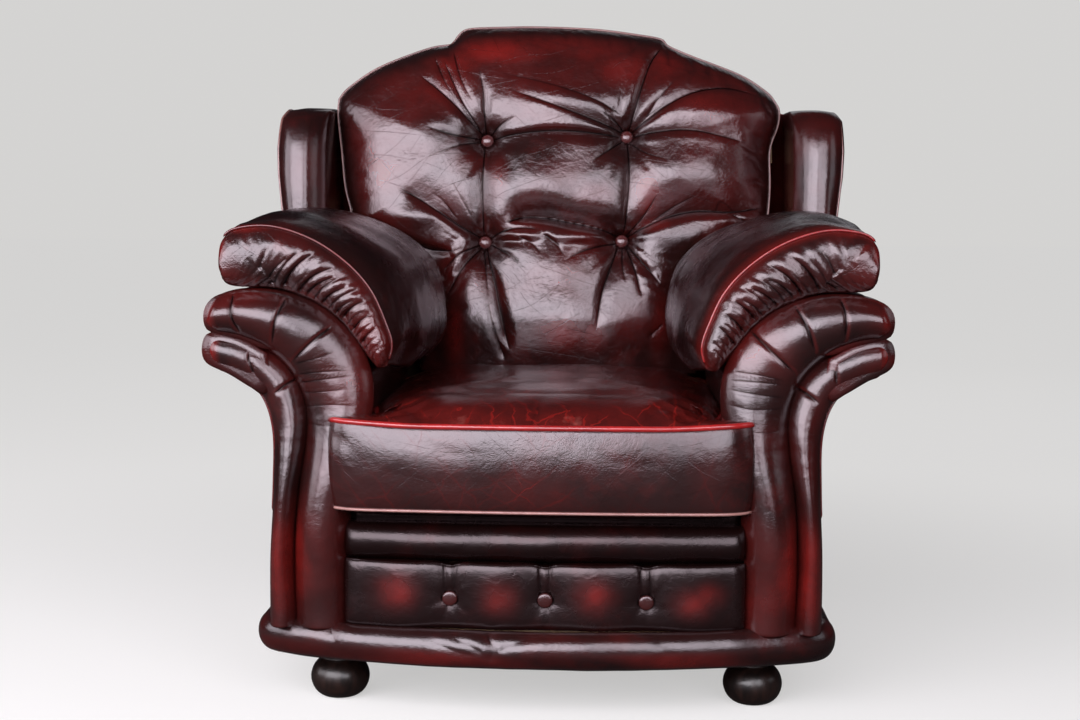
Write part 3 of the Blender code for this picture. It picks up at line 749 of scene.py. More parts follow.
# %% The back cushion's shape
SIDE_LEFT = curve([(-240, 432), (-238, 490), (-236, 548), (-250, 600), (-305, 640), (-360, 672),
    (-369, 710), (-380, 750), (-388, 814), (-396, 875), (-395, 905)], 240)
SIDE_RIGHT = curve([(240, 432), (238, 490), (236, 548), (250, 600), (305, 640), (358, 672),
    (365, 710), (368, 760), (368, 819), (382, 862), (384, 889), (376, 905)], 240)
TOP_EDGE = joined(
    curve([(-395, 905), (-378, 925), (-324, 962), (-240, 995), (-197, 1003)], 90),
    curve([(-190, 1010), (-184, 1020), (-166, 1031), (-110, 1034), (-40, 1035), (60, 1031),
        (140, 1021), (176, 1014), (185, 1004)], 150),
    curve([(194, 999), (230, 984), (315, 951), (362, 921), (376, 905)], 80),
    count=360,
)
BACK_OUTLINE = joined(SIDE_LEFT, TOP_EDGE, SIDE_RIGHT[::-1], count=700)
# The same without the crest's notches: the filling doesn't follow them
FILLING_EDGE = joined(
    SIDE_LEFT,
    curve([(-395, 905), (-376, 928), (-322, 968), (-240, 1006), (-110, 1035), (-20, 1038), (90, 1032),
        (220, 996), (315, 957), (362, 926), (376, 905)], 300),
    SIDE_RIGHT[::-1],
    count=180,
)
BACK_LOW, BACK_HIGH = 0.432, 0.905
OUTLINE_DEPTH = 0.128
EDGE_SWELL, SWELL, SWELL_REACH = 0.026, 0.062, 0.074
BACK_BUTTONS = {
    "upper_left": (-126, 830),
    "upper_right": (116, 838),
    "lower_left": (-127, 654),
    "lower_right": (109, 658),
}
# Where the filling stands out between the folds: (x, z), reach across and up, height
BACK_SWELLS = [
    ((-30, 764), (85, 45), 5), ((-5, 610), (80, 50), 10), ((0, 900), (90, 30), 7),
    ((-240, 850), (70, 55), 9), ((240, 785), (70, 45), 9), ((-250, 700), (45, 16), 6),
    ((230, 665), (60, 22), 7), ((250, 885), (60, 20), 7), ((-160, 560), (30, 50), 6),
    ((160, 560), (40, 50), 6), ((-60, 670), (36, 10), 8), ((30, 668), (35, 10), 8),
]


def at_height(path, height):
    order = np.argsort(path[:, 1])
    return np.interp(height, path[order, 1], path[order, 0])


def back_front_view(s, t):
    """Maps the shares of a grid to the cushion's outline, as x and z."""
    side_z = BACK_LOW + t * (BACK_HIGH - BACK_LOW)
    left, right = at_height(SIDE_LEFT, side_z), at_height(SIDE_RIGHT, side_z)
    top = np.interp(TOP_EDGE[0, 0] + s * (TOP_EDGE[-1, 0] - TOP_EDGE[0, 0]), TOP_EDGE[:, 0], TOP_EDGE[:, 1])
    return stack(left + s * (right - left), BACK_LOW + t * (top - BACK_LOW))


def back_swell(flat):
    """How far the cushion stands forward of its outline at (x, z), before the folds."""
    rim = distance_to(flat, BACK_OUTLINE[::4])
    body = SWELL * (1 - np.exp(-distance_to(flat, FILLING_EDGE) / SWELL_REACH)) * (1 - np.exp(-rim / 0.005))
    swell = EDGE_SWELL * (1 - np.exp(-rim / 0.007)) + body + sum(mounds(flat, BACK_SWELLS)) / 1000
    # the lower edge rolls under a little where it meets the seat
    return swell * (0.50 + 0.50 * smoothstep(flat[:, 1], 0.415, 0.535))


def back_skin(s, t):
    flat = back_front_view(s, t)
    return on_back(OUTLINE_DEPTH - back_swell(flat), flat)


# %% The back cushion's folds
# (path in x and z, width, depth at its start, depth at its end, bias to the left side)
BACK_FOLDS = folds_of([
    # between the buttons
    ([(-126, 828), (-93, 838), (-42, 846), (8, 848), (59, 844), (116, 836)], 14, 15, 15, 0.45),
    ([(-130, 822), (-131, 743), (-129, 660)], 20, 15, 15, 0),
    ([(117, 828), (121, 765), (116, 700), (110, 662)], 20, 16, 15, 0),
    # the deep sagging fold
    ([(108, 662), (80, 676), (50, 684), (18, 690), (-20, 697), (-60, 698), (-94, 688)], 17, 40, 26, 0.6),
    ([(-122, 658), (-100, 672), (-70, 681), (-30, 679)], 8, 14, 3, -0.3),
    ([(-20, 668), (0, 652), (10, 634)], 8, 9, 2, 0.4),
    ([(-62, 664), (-40, 652), (-28, 636)], 7, 6, 1, -0.3),
    # from the upper left button
    ([(-128, 836), (-131, 880), (-133, 915), (-142, 960)], 9, 16, 3, 0),
    ([(-130, 836), (-152, 860), (-180, 890), (-214, 920), (-250, 948)], 12, 18, 5, 0.4),
    ([(-140, 850), (-166, 892), (-186, 931), (-205, 972)], 9, 10, 6, 0.2),
    ([(-156, 905), (-176, 945), (-190, 990)], 8, 3, 8, 0),
    ([(-178, 898), (-205, 940), (-222, 978)], 8, 2, 7, 0.2),
    ([(-121, 837), (-103, 857), (-74, 874)], 10, 12, 2, 0),
    ([(-134, 832), (-185, 840), (-240, 858)], 16, 14, 2, 0),
    ([(-134, 828), (-180, 820), (-230, 800)], 18, 9, 1, 0),
    # from the upper right button
    ([(118, 844), (132, 892), (145, 938), (160, 975), (182, 1004)], 13, 18, 12, 0.2),
    ([(121, 843), (150, 868), (185, 894), (230, 916), (290, 924), (362, 906)], 13, 18, 3, -0.5),
    ([(150, 872), (170, 905), (200, 940)], 10, 8, 2, 0),
    ([(123, 837), (160, 846), (211, 851), (256, 846), (330, 828)], 12, 16, 4, -0.4),
    ([(106, 846), (62, 866), (-10, 893), (-95, 922)], 11, 14, 3, 0.5),
    ([(100, 880), (58, 904), (-18, 929), (-110, 950)], 12, 6, 2, 0.4),
    ([(113, 845), (92, 868), (70, 884)], 9, 12, 3, 0),
    ([(108, 830), (85, 815), (55, 795)], 12, 12, 2, 0),
    ([(123, 826), (150, 810), (190, 800)], 12, 8, 1, 0),
    # from the lower left button
    ([(-131, 660), (-171, 683), (-202, 704), (-243, 730), (-285, 752)], 20, 22, 6, 0.6),
    ([(-180, 700), (-200, 726), (-226, 744)], 10, 6, 2, 0.3),
    ([(-150, 700), (-165, 726), (-186, 765)], 10, 5, 2, 0),
    ([(-365, 700), (-330, 688), (-277, 664), (-226, 642), (-175, 640)], 14, 10, 22, 0.5),
    ([(-133, 645), (-160, 617), (-176, 592), (-190, 560)], 10, 18, 5, 0.3),
    ([(-140, 648), (-170, 634), (-205, 600)], 8, 10, 3, 0),
    ([(-125, 646), (-109, 593), (-98, 543), (-80, 466)], 12, 16, 10, 0.2),
    ([(-128, 640), (-122, 600), (-118, 560)], 6, 9, 2, 0),
    ([(-117, 550), (-106, 505), (-88, 452)], 7, 3, 7, 0),
    ([(-116, 650), (-85, 636), (-60, 618)], 11, 10, 2, 0),
    # from the lower right button
    ([(103, 650), (87, 605), (75, 565), (66, 500)], 12, 18, 3, -0.2),
    ([(115, 650), (132, 610), (146, 560)], 9, 16, 4, 0),
    ([(117, 652), (152, 615), (182, 580)], 10, 16, 4, 0.3),
    ([(110, 648), (110, 620), (116, 588)], 6, 10, 2, 0),
    ([(113, 662), (146, 682), (186, 700), (237, 711), (300, 710), (360, 720)], 20, 24, 12, -0.55),
    ([(117, 668), (148, 705), (172, 745)], 13, 14, 2, 0.3),
    ([(160, 692), (200, 720), (238, 740)], 10, 8, 2, -0.3),
    ([(103, 654), (70, 650), (36, 640), (12, 626)], 12, 14, 2, -0.4),
    ([(300, 706), (330, 688), (350, 672)], 8, 7, 4, 0),
    # along the bottom
    ([(160, 500), (182, 520)], 6, 4, 4, 0),
])
BACK_SPOTS = [
    ((-110, 985), (85, 24), 0.74), ((-20, 1000), (150, 22), 0.36), ((110, 955), (60, 35), 0.5),
    ((60, 985), (80, 25), 0.35), ((-180, 962), (50, 22), 0.55), ((180, 965), (40, 30), 0.45),
    ((150, 740), (30, 45), 0.6), ((60, 740), (45, 30), 0.35), ((160, 690), (35, 15), 0.5),
    ((10, 505), (50, 30), 0.6), ((60, 500), (30, 30), 0.45), ((-105, 760), (20, 45), 0.4),
    ((-165, 790), (40, 30), 0.28), ((-175, 500), (18, 60), 0.4), ((175, 520), (20, 60), 0.35),
    ((320, 640), (50, 20), 0.3),
]


def button_pull(flat):
    """The round pits that the buttons pull into the cushion."""
    total = np.zeros(len(flat))
    for spot in BACK_BUTTONS.values():
        radius = np.hypot(*(flat - mm(spot)).T)
        total += 0.034 / (1 + (radius / 0.024) ** 1.6) + 0.006 * bell(radius, 0.013)
    return total


def button_strain(points, flat):
    """Strain lines that fan out from the buttons."""
    strain = np.zeros(len(points))
    for i, spot in enumerate(BACK_BUTTONS.values()):
        gap = flat - mm(spot)
        radius = np.hypot(*gap.T)
        angle = np.arctan2(gap[:, 1], gap[:, 0])
        ring = stack(np.cos(angle) * 2.4, np.sin(angle) * 2.4, radius * 9 + i * 7.3)
        strain += ripple(ring, 1.0, 3.1 * i) * bell(radius - 0.035, 0.045)
    return strain


def close_behind(made, steps):
    """Carries an open skin's edge back along the lean of the back, and closes it there."""
    edit = bmesh.new()
    edit.from_mesh(made.data)
    for back in steps:
        edge = [e for e in edit.edges if e.is_boundary]
        for item in bmesh.ops.extrude_edge_only(edit, edges=edge)["geom"]:
            if isinstance(item, bmesh.types.BMVert):
                item.co.y = back_y(OUTLINE_DEPTH + back, item.co.z)
    bmesh.ops.contextual_create(edit, geom=[e for e in edit.edges if e.is_boundary])
    bmesh.ops.recalc_face_normals(edit, faces=edit.faces)
    edit.to_mesh(made.data)
    edit.free()
    made.data.shade_smooth()


def make_back_cushion():
    made = skin("back_cushion", surface(168, 128, back_skin), SOFT_LEATHER)
    flat = front_view(points_of(made)[0])
    held = 1 - smoothstep(distance_to(flat, BACK_OUTLINE[::3]), 0.002, 0.012)
    inflate(made, np.maximum(held, np.clip(button_pull(flat) / 0.036, 0, 1) ** 3), 0.006)
    subdivide(made)
    points, _ = points_of(made)
    flat = front_view(points)
    away = distance_to(flat, BACK_OUTLINE[::3])
    inside = smoothstep(away, 0.0, 0.03)
    press, lines = fold_depth(flat, BACK_FOLDS)
    pull = button_pull(flat)
    both = (press**1.7 + pull**1.7) ** (1 / 1.7)
    # the leather is slack between the strain lines
    slack = ripple(points, 8.0, 5.0) * 0.0050 + ripple(points, 20.0, 9.0) * 0.0012
    points[:, 1] += (both + 0.0030 * button_strain(points, flat) + slack) * inside
    place_points(made, points)

    # all of the front is a little worn, less in the folds and along the lower edge
    raised = 1 - 0.75 * np.clip(both / 0.020, 0, 1)
    low_dark = 0.25 + 0.75 * smoothstep(flat[:, 1], 0.455, 0.52)
    off_edge = 0.3 + 0.7 * smoothstep(away, 0.0, 0.07)
    all_over = mottled(points, 0.22, 0.30, 2.0, 11.0) * raised * low_dark * off_edge
    worn = np.maximum(rubbed(flat, BACK_SPOTS) * (0.6 + 0.4 * raised), all_over)
    # the button pits are darkened as painted shade
    paint(made, wear=worn * inside, crease=np.clip(pull / 0.040, 0, 1) ** 4 * inside)
    paint_folds(made, lines, inside)
    close_behind(made, (0.030, 0.122))


make_back_cushion()


# %% [markdown]
# A covered button is a dome of leather pulled over a metal shell. A full spin of its profile
# makes it.


# %% Buttons
DOME = [(0, -4), (9.4, -3.5), (11, -0.8), (11.4, 1.4), (10.6, 4.4), (8, 7), (4.2, 8.5), (0, 8.9)]


def spun(profile, steps):
    """A turned shape on +Z from (radius, height) pairs in millimetres, closed at the axis."""
    edit = bmesh.new()
    verts = [edit.verts.new((radius, 0, height)) for radius, height in mm(profile)]
    edges = [edit.edges.new(pair) for pair in zip(verts, verts[1:])]
    bmesh.ops.spin(
        edit, geom=verts + edges, axis=(0, 0, 1), cent=(0, 0, 0), angle=math.tau, steps=steps, use_merge=True
    )
    bmesh.ops.remove_doubles(edit, verts=edit.verts, dist=1e-6)
    bmesh.ops.recalc_face_normals(edit, faces=edit.faces)
    return edit


def make_button(name, x, y, z, tilt, dome, finish):
    edit = spun(dome, 28)
    turn = Matrix.Rotation(math.pi / 2 - tilt, 4, "X")
    bmesh.ops.transform(edit, matrix=Matrix.Translation((x, y, z)) @ turn, verts=edit.verts)
    paint(piece(name, edit, finish, (name,), levels=1), wear=0.15)


# The back buttons' dark tone is lighter than the other leather's: a painted sheen for the highlights on their
# domes
BUTTON_LEATHER_PAINTED_SHEEN = leather("button_leather_painted_sheen", Cracks=0.1, Wrinkles=0.05, Dark=(0.045, 0.014, 0.014, 1))
for label, spot in BACK_BUTTONS.items():
    x, z = mm(spot)
    flat = np.array([[x, z]])
    depth = OUTLINE_DEPTH - float(back_swell(flat)[0]) + float(button_pull(flat)[0])
    make_button(f"back_button_{label}", x, back_y(depth, z) - 0.004, z, math.atan(LEAN), DOME, BUTTON_LEATHER_PAINTED_SHEEN)

# %% [markdown]
# Three curves, seen from the front, shape each arm: the inner edge, the seam between the two
# scroll rolls, and the outer edge. They match the construction solids.

# %% The arm's curves
ARM_INNER = curve([(277, 130), (278, 225), (271, 315), (254, 385), (245, 440), (247, 480), (262, 522),
    (292, 558), (330, 584), (375, 598), (425, 600), (462, 590), (478, 570)], 400)
ARM_SEAM = curve([(354, 130), (356, 220), (351, 310), (341, 380), (340, 432), (356, 477), (388, 510),
    (430, 531), (478, 540)], 400)
ARM_OUTER = curve([(392, 130), (391, 220), (386, 320), (386, 400), (402, 450), (434, 475), (478, 492)], 400)
SCROLL_REAR = -0.3853


def rear_end(height):
    return back_y(0.2861, height) - 0.0006


# %% [markdown]
# The two scroll rolls that face forward on each arm are fat tubes of leather. They run from the
# base roll up the arm's front and out over the top, where each ends in a rounded tip. Short
# seams cross them where the leather had to be taken in round the bend, and the bend is wrinkled.

# %% Scroll rolls
SCROLL_PLEATS = {
    ("inner", "left"): [
        [(302, 547), (324, 529), (354, 500)],
        [(365, 584), (375, 558), (382, 524)],
        [(438, 590), (436, 560), (426, 538)],
    ],
    ("outer", "left"): [
        [(409, 515), (416, 504), (409, 474)],
        [(349, 475), (364, 467), (380, 454)],
    ],
    ("inner", "right"): [
        [(286, 545), (313, 519), (343, 492)],
        [(344, 582), (358, 557), (370, 523)],
        [(406, 592), (411, 571), (411, 540)],
    ],
    ("outer", "right"): [
        [(393, 517), (400, 500), (403, 475)],
        [(346, 470), (362, 462), (378, 450)],
    ],
}
# Wrinkles at the bend of each inner roll, as (path, width, start depth, end depth, bias)
BEND_FOLDS = {
    "left": [
        ([(345, 482), (309, 486), (270, 488)], 7, 4, 3, 0.3),
        ([(342, 470), (304, 476), (268, 481)], 7, 4.5, 3, -0.3),
        ([(345, 498), (319, 505), (290, 515)], 8, 4, 1.5, 0),
        ([(338, 455), (310, 458), (275, 462)], 8, 3, 2, 0.3),
        ([(338, 435), (300, 440), (262, 438)], 9, 2.2, 1.8, 0),
        ([(336, 412), (306, 410), (280, 416)], 8, 1.8, 0.8, 0),
    ],
    "right": [
        ([(265, 492), (296, 488), (330, 480)], 7, 3.5, 4, 0.3),
        ([(262, 480), (296, 478), (330, 474)], 7, 3.5, 4, -0.3),
        ([(262, 466), (300, 460), (334, 456)], 8, 2.5, 3.5, 0),
        ([(258, 445), (290, 440), (334, 442)], 8, 2, 2.8, 0.3),
        ([(262, 415), (300, 408), (336, 412)], 9, 1.2, 2, 0),
    ],
}
# Each roll's curves, bulge, faces round and along it, where its bend is and where it rubs red
ROLLS = {
    "inner": (ARM_INNER, ARM_SEAM, 0.043, (60, 340), 0.50, 0.352),
    "outer": (ARM_SEAM, ARM_OUTER, 0.034, (42, 320), 0.58, 0.372),
}


def scroll(inner, outer, bulge, pinch=0.045):
    """A tube between two curves, as a function of the shares round it and along it."""

    def place(s, t):
        first, second = sample(inner, t), sample(outer, t)
        middle, half = (first + second) / 2, (first - second) / 2
        round_off = np.clip((t - (1 - pinch)) / pinch, 0, 1)
        size = np.sqrt(np.clip(1 - round_off**2, 0, 1)) * np.clip(t / 0.003, 0, 1)
        angle = s * math.tau
        front = np.sin(angle)
        depth = np.where(front > 0, bulge * np.abs(front) ** 1.3, -0.002 * np.abs(front))
        flat = middle + half * (np.cos(angle) * size * 1.02)[:, None]
        flat[:, 1] -= 0.010 * (1 - smoothstep(t, 0, 0.03))
        # the front stands out most at the seat's underside, and draws in above and below
        height = middle[:, 1]
        fuller = 0.007 - 0.019 * smoothstep(height, 0.27, 0.48) + 0.012 * smoothstep(height, 0.475, 0.57)
        fuller -= 0.011 * (1 - smoothstep(height, 0.13, 0.27))
        depth += fuller * np.clip(front, 0, 1)
        return stack(flat[:, 0], SCROLL_REAR - 0.002 - depth * size, flat[:, 1])

    return place


def make_scroll(which, label, side):
    inner, outer, bulge, (around, along), bend_at, red_at = ROLLS[which]
    name = f"arm_scroll_{which}_{label}"
    made = skin(name, merged(surface(around, along, scroll(inner, outer, bulge)), side=side))
    points, normals = points_of(made)
    flat = front_view(points, side)
    seed = 4.0 if label == "left" else 11.0

    # The bend's wrinkles are a shallow press with a thin line of painted shade in each
    pleats = folds_of([(path, 2.9, 2.8, 2.8, 0) for path in SCROLL_PLEATS[which, label]])
    bends = folds_of(BEND_FOLDS[label]) if which == "inner" else []
    shallow = [(path, width * 0.5, start * 0.18, end * 0.18, bias) for path, width, start, end, bias in bends]
    dark = [(path, width, start * 0.5, end * 0.4, bias) for path, width, start, end, bias in bends]
    press, _ = fold_depth(flat, pleats + shallow)
    _, lines = fold_depth(flat, pleats + dark)
    beside = np.zeros(len(points))
    for path, *_ in pleats:
        distance, side_of, _ = nearest(flat, smooth_path(path, 24))
        beside = np.maximum(beside, bell(distance * side_of - 0.0035, 0.0025))
    share = nearest(flat, ((inner + outer) / 2)[::8])[2]
    at_bend = bell(share - bend_at, 0.09)
    wrinkle = ripple(stack(share * 46, flat[:, 0] * 24, seed + len(which))) * 0.0004 * at_bend
    lumps = ripple(points, 13.0, seed) * 0.0012
    front = smoothstep(-normals[:, 1], -0.1, 0.4)
    points -= normals * ((press - wrinkle - lumps) * front)[:, None]
    place_points(made, points)

    below = 0.335 - points[:, 2]
    streaks = 0.75 + 0.25 * ripple(points * (1.0, 1.0, 0.35), 40.0)
    low_down = smoothstep(below, 0.0, 0.12) * smoothstep(points[:, 2], 0.125, 0.19)
    low_red = low_down * 0.85 * bell(flat[:, 0] - red_at, 0.022)
    low_red += 0.22 * smoothstep(below - 0.005, 0.0, 0.12)
    low_red *= mottled(points * (1.0, 1.0, 0.5), 0.80, 0.55, seed, 30.0)
    tip_red = 0.95 * smoothstep(flat[:, 0], 0.452, 0.478)
    outer_gap, inner_gap = distance_to(flat, outer[::8]), distance_to(flat, inner[::8])
    side_red = 0.24 * bell(outer_gap, 0.006) + 0.16 * bell(inner_gap, 0.006)
    side_red *= 0.4 + 0.6 * smoothstep(below + 0.025, 0, 0.1)
    all_over = mottled(points, 0.12, 0.26, seed) * (1 - np.clip(press / 0.006, 0, 1))
    worn = [low_red * streaks, tip_red, side_red * streaks, 0.22 * beside, all_over]
    paint(made, wear=np.maximum.reduce(worn))
    paint_folds(made, lines, front, 2.6)


for label, side in SIDES:
    make_scroll("inner", label, side)
    make_scroll("outer", label, side)


# %% [markdown]
# The pillow on each arm is a soft tube that runs back to the wing. Its front is closed by a
# crescent of leather, gathered along its lower edge so that it puckers, with piping between the
# crescent and the smooth body.

# %% Arm pads
PAD_TIP, PAD_HEEL = (457, 622), (223, 494)
PAD_FRONT_TOP = curve([
    PAD_TIP, (459, 645), (455, 668), (436, 684), (386, 688), (330, 671), (282, 640), (247, 602), (226, 558),
    (216, 524), PAD_HEEL,
], 300)
PAD_FULL_TOP = curve([(462, 622), (467, 650), (462, 678), (440, 698), (388, 709), (322, 699),
    (252, 669), (203, 626), (184, 562), (185, 506), (206, 472)], 300)
PAD_UNDERSIDE = [(425, 601.5), (375, 599.5), (329, 585.5), (290, 559), (260, 523)]
PAD_UNDER = curve([PAD_TIP, (448, 606), *PAD_UNDERSIDE, (247, 503), (237, 491), PAD_HEEL], 300)
PAD_FULL_UNDER = curve([(462, 622), (450, 606), *PAD_UNDERSIDE, (246, 494), (232, 474), (206, 472)], 300)
PAD_FRONT_Y, PAD_BACK_Y = -0.402, 0.118
PAD_MIDDLE = mm((315, 595))
# How full the pillow is, from 0 to 1, at each y
PAD_FULLNESS = [-0.402, -0.392, -0.36, -0.29, -0.14, 0.068, 0.118], [0, 0.07, 0.34, 0.75, 1, 0.9, 0.7]
# The crescent's gathers: share along it, how far it leans and reaches across, depth in mm
PAD_GATHERS = {
    "left": [
        (0.085, 0.1, 0.5, 3), (0.15, 0.06, 0.45, 3), (0.215, 0.1, 0.75, 5), (0.262, 0.13, 0.62, 6),
        (0.3, 0.14, 0.8, 7.5), (0.345, 0.15, 0.88, 8.5), (0.385, 0.14, 0.6, 5.5), (0.425, 0.16, 0.86, 8),
        (0.465, 0.13, 0.7, 6), (0.505, 0.14, 0.92, 8.5), (0.548, 0.11, 0.72, 6), (0.59, 0.11, 0.86, 7.5),
        (0.63, 0.08, 0.66, 5.5), (0.668, 0.08, 0.84, 7), (0.706, 0.06, 0.7, 5.5), (0.742, 0.06, 0.86, 6.5),
        (0.78, 0.04, 0.7, 5), (0.818, 0.03, 0.8, 6), (0.856, 0.02, 0.72, 4.5), (0.893, 0.01, 0.76, 4.5),
        (0.925, 0, 0.66, 3.5),
    ],
    "right": [
        (0.07, 0.08, 0.55, 3), (0.12, 0.09, 0.7, 4.5), (0.172, 0.1, 0.55, 4.5), (0.22, 0.13, 0.8, 6),
        (0.27, 0.12, 0.66, 5.5), (0.318, 0.15, 0.86, 7.5), (0.362, 0.13, 0.62, 5.5), (0.404, 0.15, 0.9, 8),
        (0.446, 0.12, 0.66, 5.5), (0.488, 0.13, 0.86, 7.5), (0.53, 0.11, 0.7, 6), (0.57, 0.11, 0.9, 8),
        (0.612, 0.08, 0.68, 5.5), (0.652, 0.08, 0.86, 7), (0.69, 0.06, 0.7, 5.5), (0.728, 0.06, 0.88, 7),
        (0.766, 0.04, 0.7, 5), (0.804, 0.03, 0.84, 6.2), (0.842, 0.02, 0.7, 4.5), (0.88, 0.01, 0.78, 5),
        (0.915, 0, 0.66, 3.5),
    ],
}
# Gathers differ in width and depth, in a pattern that repeats
GATHER_WIDTHS, GATHER_SHARES = (0.0064, 0.0042, 0.0056, 0.0084, 0.0046), (1.15, 0.45, 1.00, 1.30, 0.55)
PAD_LENGTH, PAD_WIDTH = 0.36, 0.070
PAD_SPOTS = [((459, 655), (12, 18), 0.85), ((430, 684), (45, 6), 0.5), ((350, 640), (50, 20), 0.15)]


def pad_body(s, t):
    """The pillow's skin: s runs round it, t from the crescent to the back, where it closes."""
    y = PAD_FRONT_Y + (PAD_BACK_Y - PAD_FRONT_Y) * np.clip(t / 0.90, 0, 1)
    over = (s < 0.5)[:, None]
    along = 2 * to_end(s)
    narrow = np.where(over, sample(PAD_FRONT_TOP, along), sample(PAD_UNDER, along))
    wide = np.where(over, sample(PAD_FULL_TOP, along), sample(PAD_FULL_UNDER, along))
    flat = narrow + (wide - narrow) * np.interp(y, *PAD_FULLNESS)[:, None]
    closing = np.clip((t - 0.90) / 0.10, 0, 1)
    flat = PAD_MIDDLE + (flat - PAD_MIDDLE) * np.sqrt(np.clip(1 - closing**2, 0, 1))[:, None]
    return stack(flat[:, 0], y + 0.022 * closing, flat[:, 1])


def pad_front(s, t):
    """The crescent: s runs along it from its outer end, t from its lower edge to the piping."""
    flat = sample(PAD_UNDER, s) * (1 - t)[:, None] + sample(PAD_FRONT_TOP, s) * t[:, None]
    full = (1 - np.abs(2 * t - 1) ** 2.6) * smoothstep(s, 0, 0.08) * smoothstep(1 - s, 0, 0.10)
    return stack(flat[:, 0], PAD_FRONT_Y - 0.020 * full, flat[:, 1])


def gathers(label):
    """The crescent's gathers as folds, laid out as if it were flat."""
    for i, (start, leaning, reach, depth) in enumerate(PAD_GATHERS[label]):
        path = np.array([(start, 0.02), (start + leaning * 0.45, reach * 0.5), (start + leaning, reach)])
        deeper = GATHER_SHARES[i % 5] * (0.5 if i < 2 or i > 17 else 1)
        path *= (PAD_LENGTH, PAD_WIDTH)
        depth /= 1000
        yield path, GATHER_WIDTHS[i % 5], depth * deeper, depth * 0.2, 0.5 if i % 3 else -0.3


def make_arm_pad(label, side):
    seed = 2.0 if label == "left" else 7.5
    edit = merged(surface(236, 28, pad_body), surface(118, 22, pad_front), side=side)
    made = skin(f"arm_pad_{label}", edit, SOFT_LEATHER)
    inflate(made, 1 - smoothstep(points_of(made)[0][:, 1], PAD_FRONT_Y + 0.002, PAD_FRONT_Y + 0.020), 0.006)
    subdivide(made)
    points, normals = points_of(made)
    flat = front_view(points, side)
    low_gap, _, low_share = nearest(flat, PAD_UNDER[::5])
    top_gap, _, top_share = nearest(flat, PAD_FRONT_TOP[::5])
    across = low_gap / (low_gap + top_gap + 1e-6)
    share = low_share * (1 - across) + top_share * across
    facing = (points[:, 1] < PAD_FRONT_Y + 0.0012).astype(float)

    unrolled = stack(share * PAD_LENGTH, across * PAD_WIDTH, 0.0)
    press, lines = fold_depth(unrolled[:, :2], gathers(label))
    fade = smoothstep(across, 0.0, 0.06) * (1 - smoothstep(across, 0.80, 1.0)) * facing
    small = ripple(stack((share - 0.14 * across) * 34, across * 1.6, seed))
    body = (1 - facing) * smoothstep(points[:, 1], PAD_FRONT_Y + 0.005, PAD_FRONT_Y + 0.06)
    soft = ripple(points, 8.0, seed) * 0.0045 + ripple(points, 19.0, seed) * 0.0010
    points += normals * (soft * body - (press + 0.0011 * small) * fade)[:, None]
    place_points(made, points)

    flecks = smoothstep(ripple(unrolled, 45.0, seed), 0.0, 0.5)
    between = 0.28 * np.clip(1 - press / 0.003, 0, 1) * fade * flecks
    patches = np.clip(ripple(points, 16.0, seed), 0, None)
    worn = [
        rubbed(flat, PAD_SPOTS),
        between * smoothstep(0.70 - share, 0.0, 0.3),
        0.30 * bell(share - 0.8, 0.12) * body * patches,
        mottled(points, 0.14, 0.30, seed) * facing,
    ]
    if label == "right":
        worn.append(0.42 * bell(top_gap, 0.008) * smoothstep(-points[:, 1], 0.30, 0.40))
    # the smooth body is darkened all over as painted shade
    paint(made, wear=np.maximum.reduce(worn), crease=0.55 * body)
    paint_folds(made, lines, fade, 1.6)


for label, side in SIDES:
    make_arm_pad(label, side)
    edge = PAD_FRONT_TOP[38:-4:3] * (side, 1)
    path = stack(edge[:, 0], PAD_FRONT_Y - 0.002, edge[:, 1])
    tube(f"arm_pad_piping_{label}", path, 0.0017, 0.62 if label == "right" else 0.22)
    edge = (ARM_OUTER[150:-14:5] + (0.001, -0.001)) * (side, 1)
    tube(f"arm_scroll_piping_{label}", stack(edge[:, 0], SCROLL_REAR - 0.002, edge[:, 1]), 0.0015, 0.25)

# %% [markdown]
# Behind the scrolls, two padded rolls carry the arm's overhang back to the outside cover, over a
# flat leather panel. A third panel lines the arm beside the seat.

# %% Arm sides
ARM_FRONT = -0.388


def closed_outline(points):
    loop = curve([*points, points[0]], 200)
    loop[-1] = loop[0]
    return loop


UPPER_BOLSTER = closed_outline([(330, 566), (355, 588), (390, 597), (430, 598), (464, 590), (480, 571),
    (477, 544.5), (455, 535), (425, 528), (392, 516), (372, 524), (362, 538), (340, 548)])
LOWER_BOLSTER = closed_outline([(392, 510), (428, 530), (460, 538.5), (477, 534.5), (482, 514), (475, 496),
    (445, 480), (415, 462), (396, 452), (388, 480)])
BOLSTER_SPOTS = [((482, 565), (12, 20), 0.55), ((482, 512), (12, 16), 0.5)]
PANEL_TOP = ARM_OUTER[:332]
LINING = curve([(272, 262), (266, 330), (262, 390), (252, 435), (250, 475), (262, 506)], 80)


def bolster(outline):
    """A closed tube from an outline in x and z, from the scroll to the leaning back."""
    middle = outline.mean(axis=0)
    front, ends = -0.406, 0.03

    def place(s, t):
        flat = sample(outline, s)
        inner = np.clip((t - ends) / (1 - 2 * ends), 0, 1)
        closing = np.maximum(np.clip(1 - t / ends, 0, 1), np.clip((t - 1 + ends) / ends, 0, 1))
        flat = middle + (flat - middle) * np.clip(1 - closing, 0, 1)[:, None]
        return stack(flat[:, 0], front + (rear_end(flat[:, 1]) - front) * inner, flat[:, 1])

    return place


def outside_panel(s, t):
    """Taut leather with a slight belly, set in behind the scroll."""
    closing = np.clip((np.abs(2 * s - 1) - 0.94) / 0.06, 0, 1)
    flat = sample(PANEL_TOP, t)
    y = ARM_FRONT + (rear_end(flat[:, 1]) - ARM_FRONT) * np.clip((s - 0.03) / 0.94, 0, 1)
    belly = 0.004 * np.sin(np.pi * np.clip(s, 0, 1)) * np.sin(np.pi * t)
    return stack(flat[:, 0] + belly - 0.007 * closing, y, flat[:, 1])


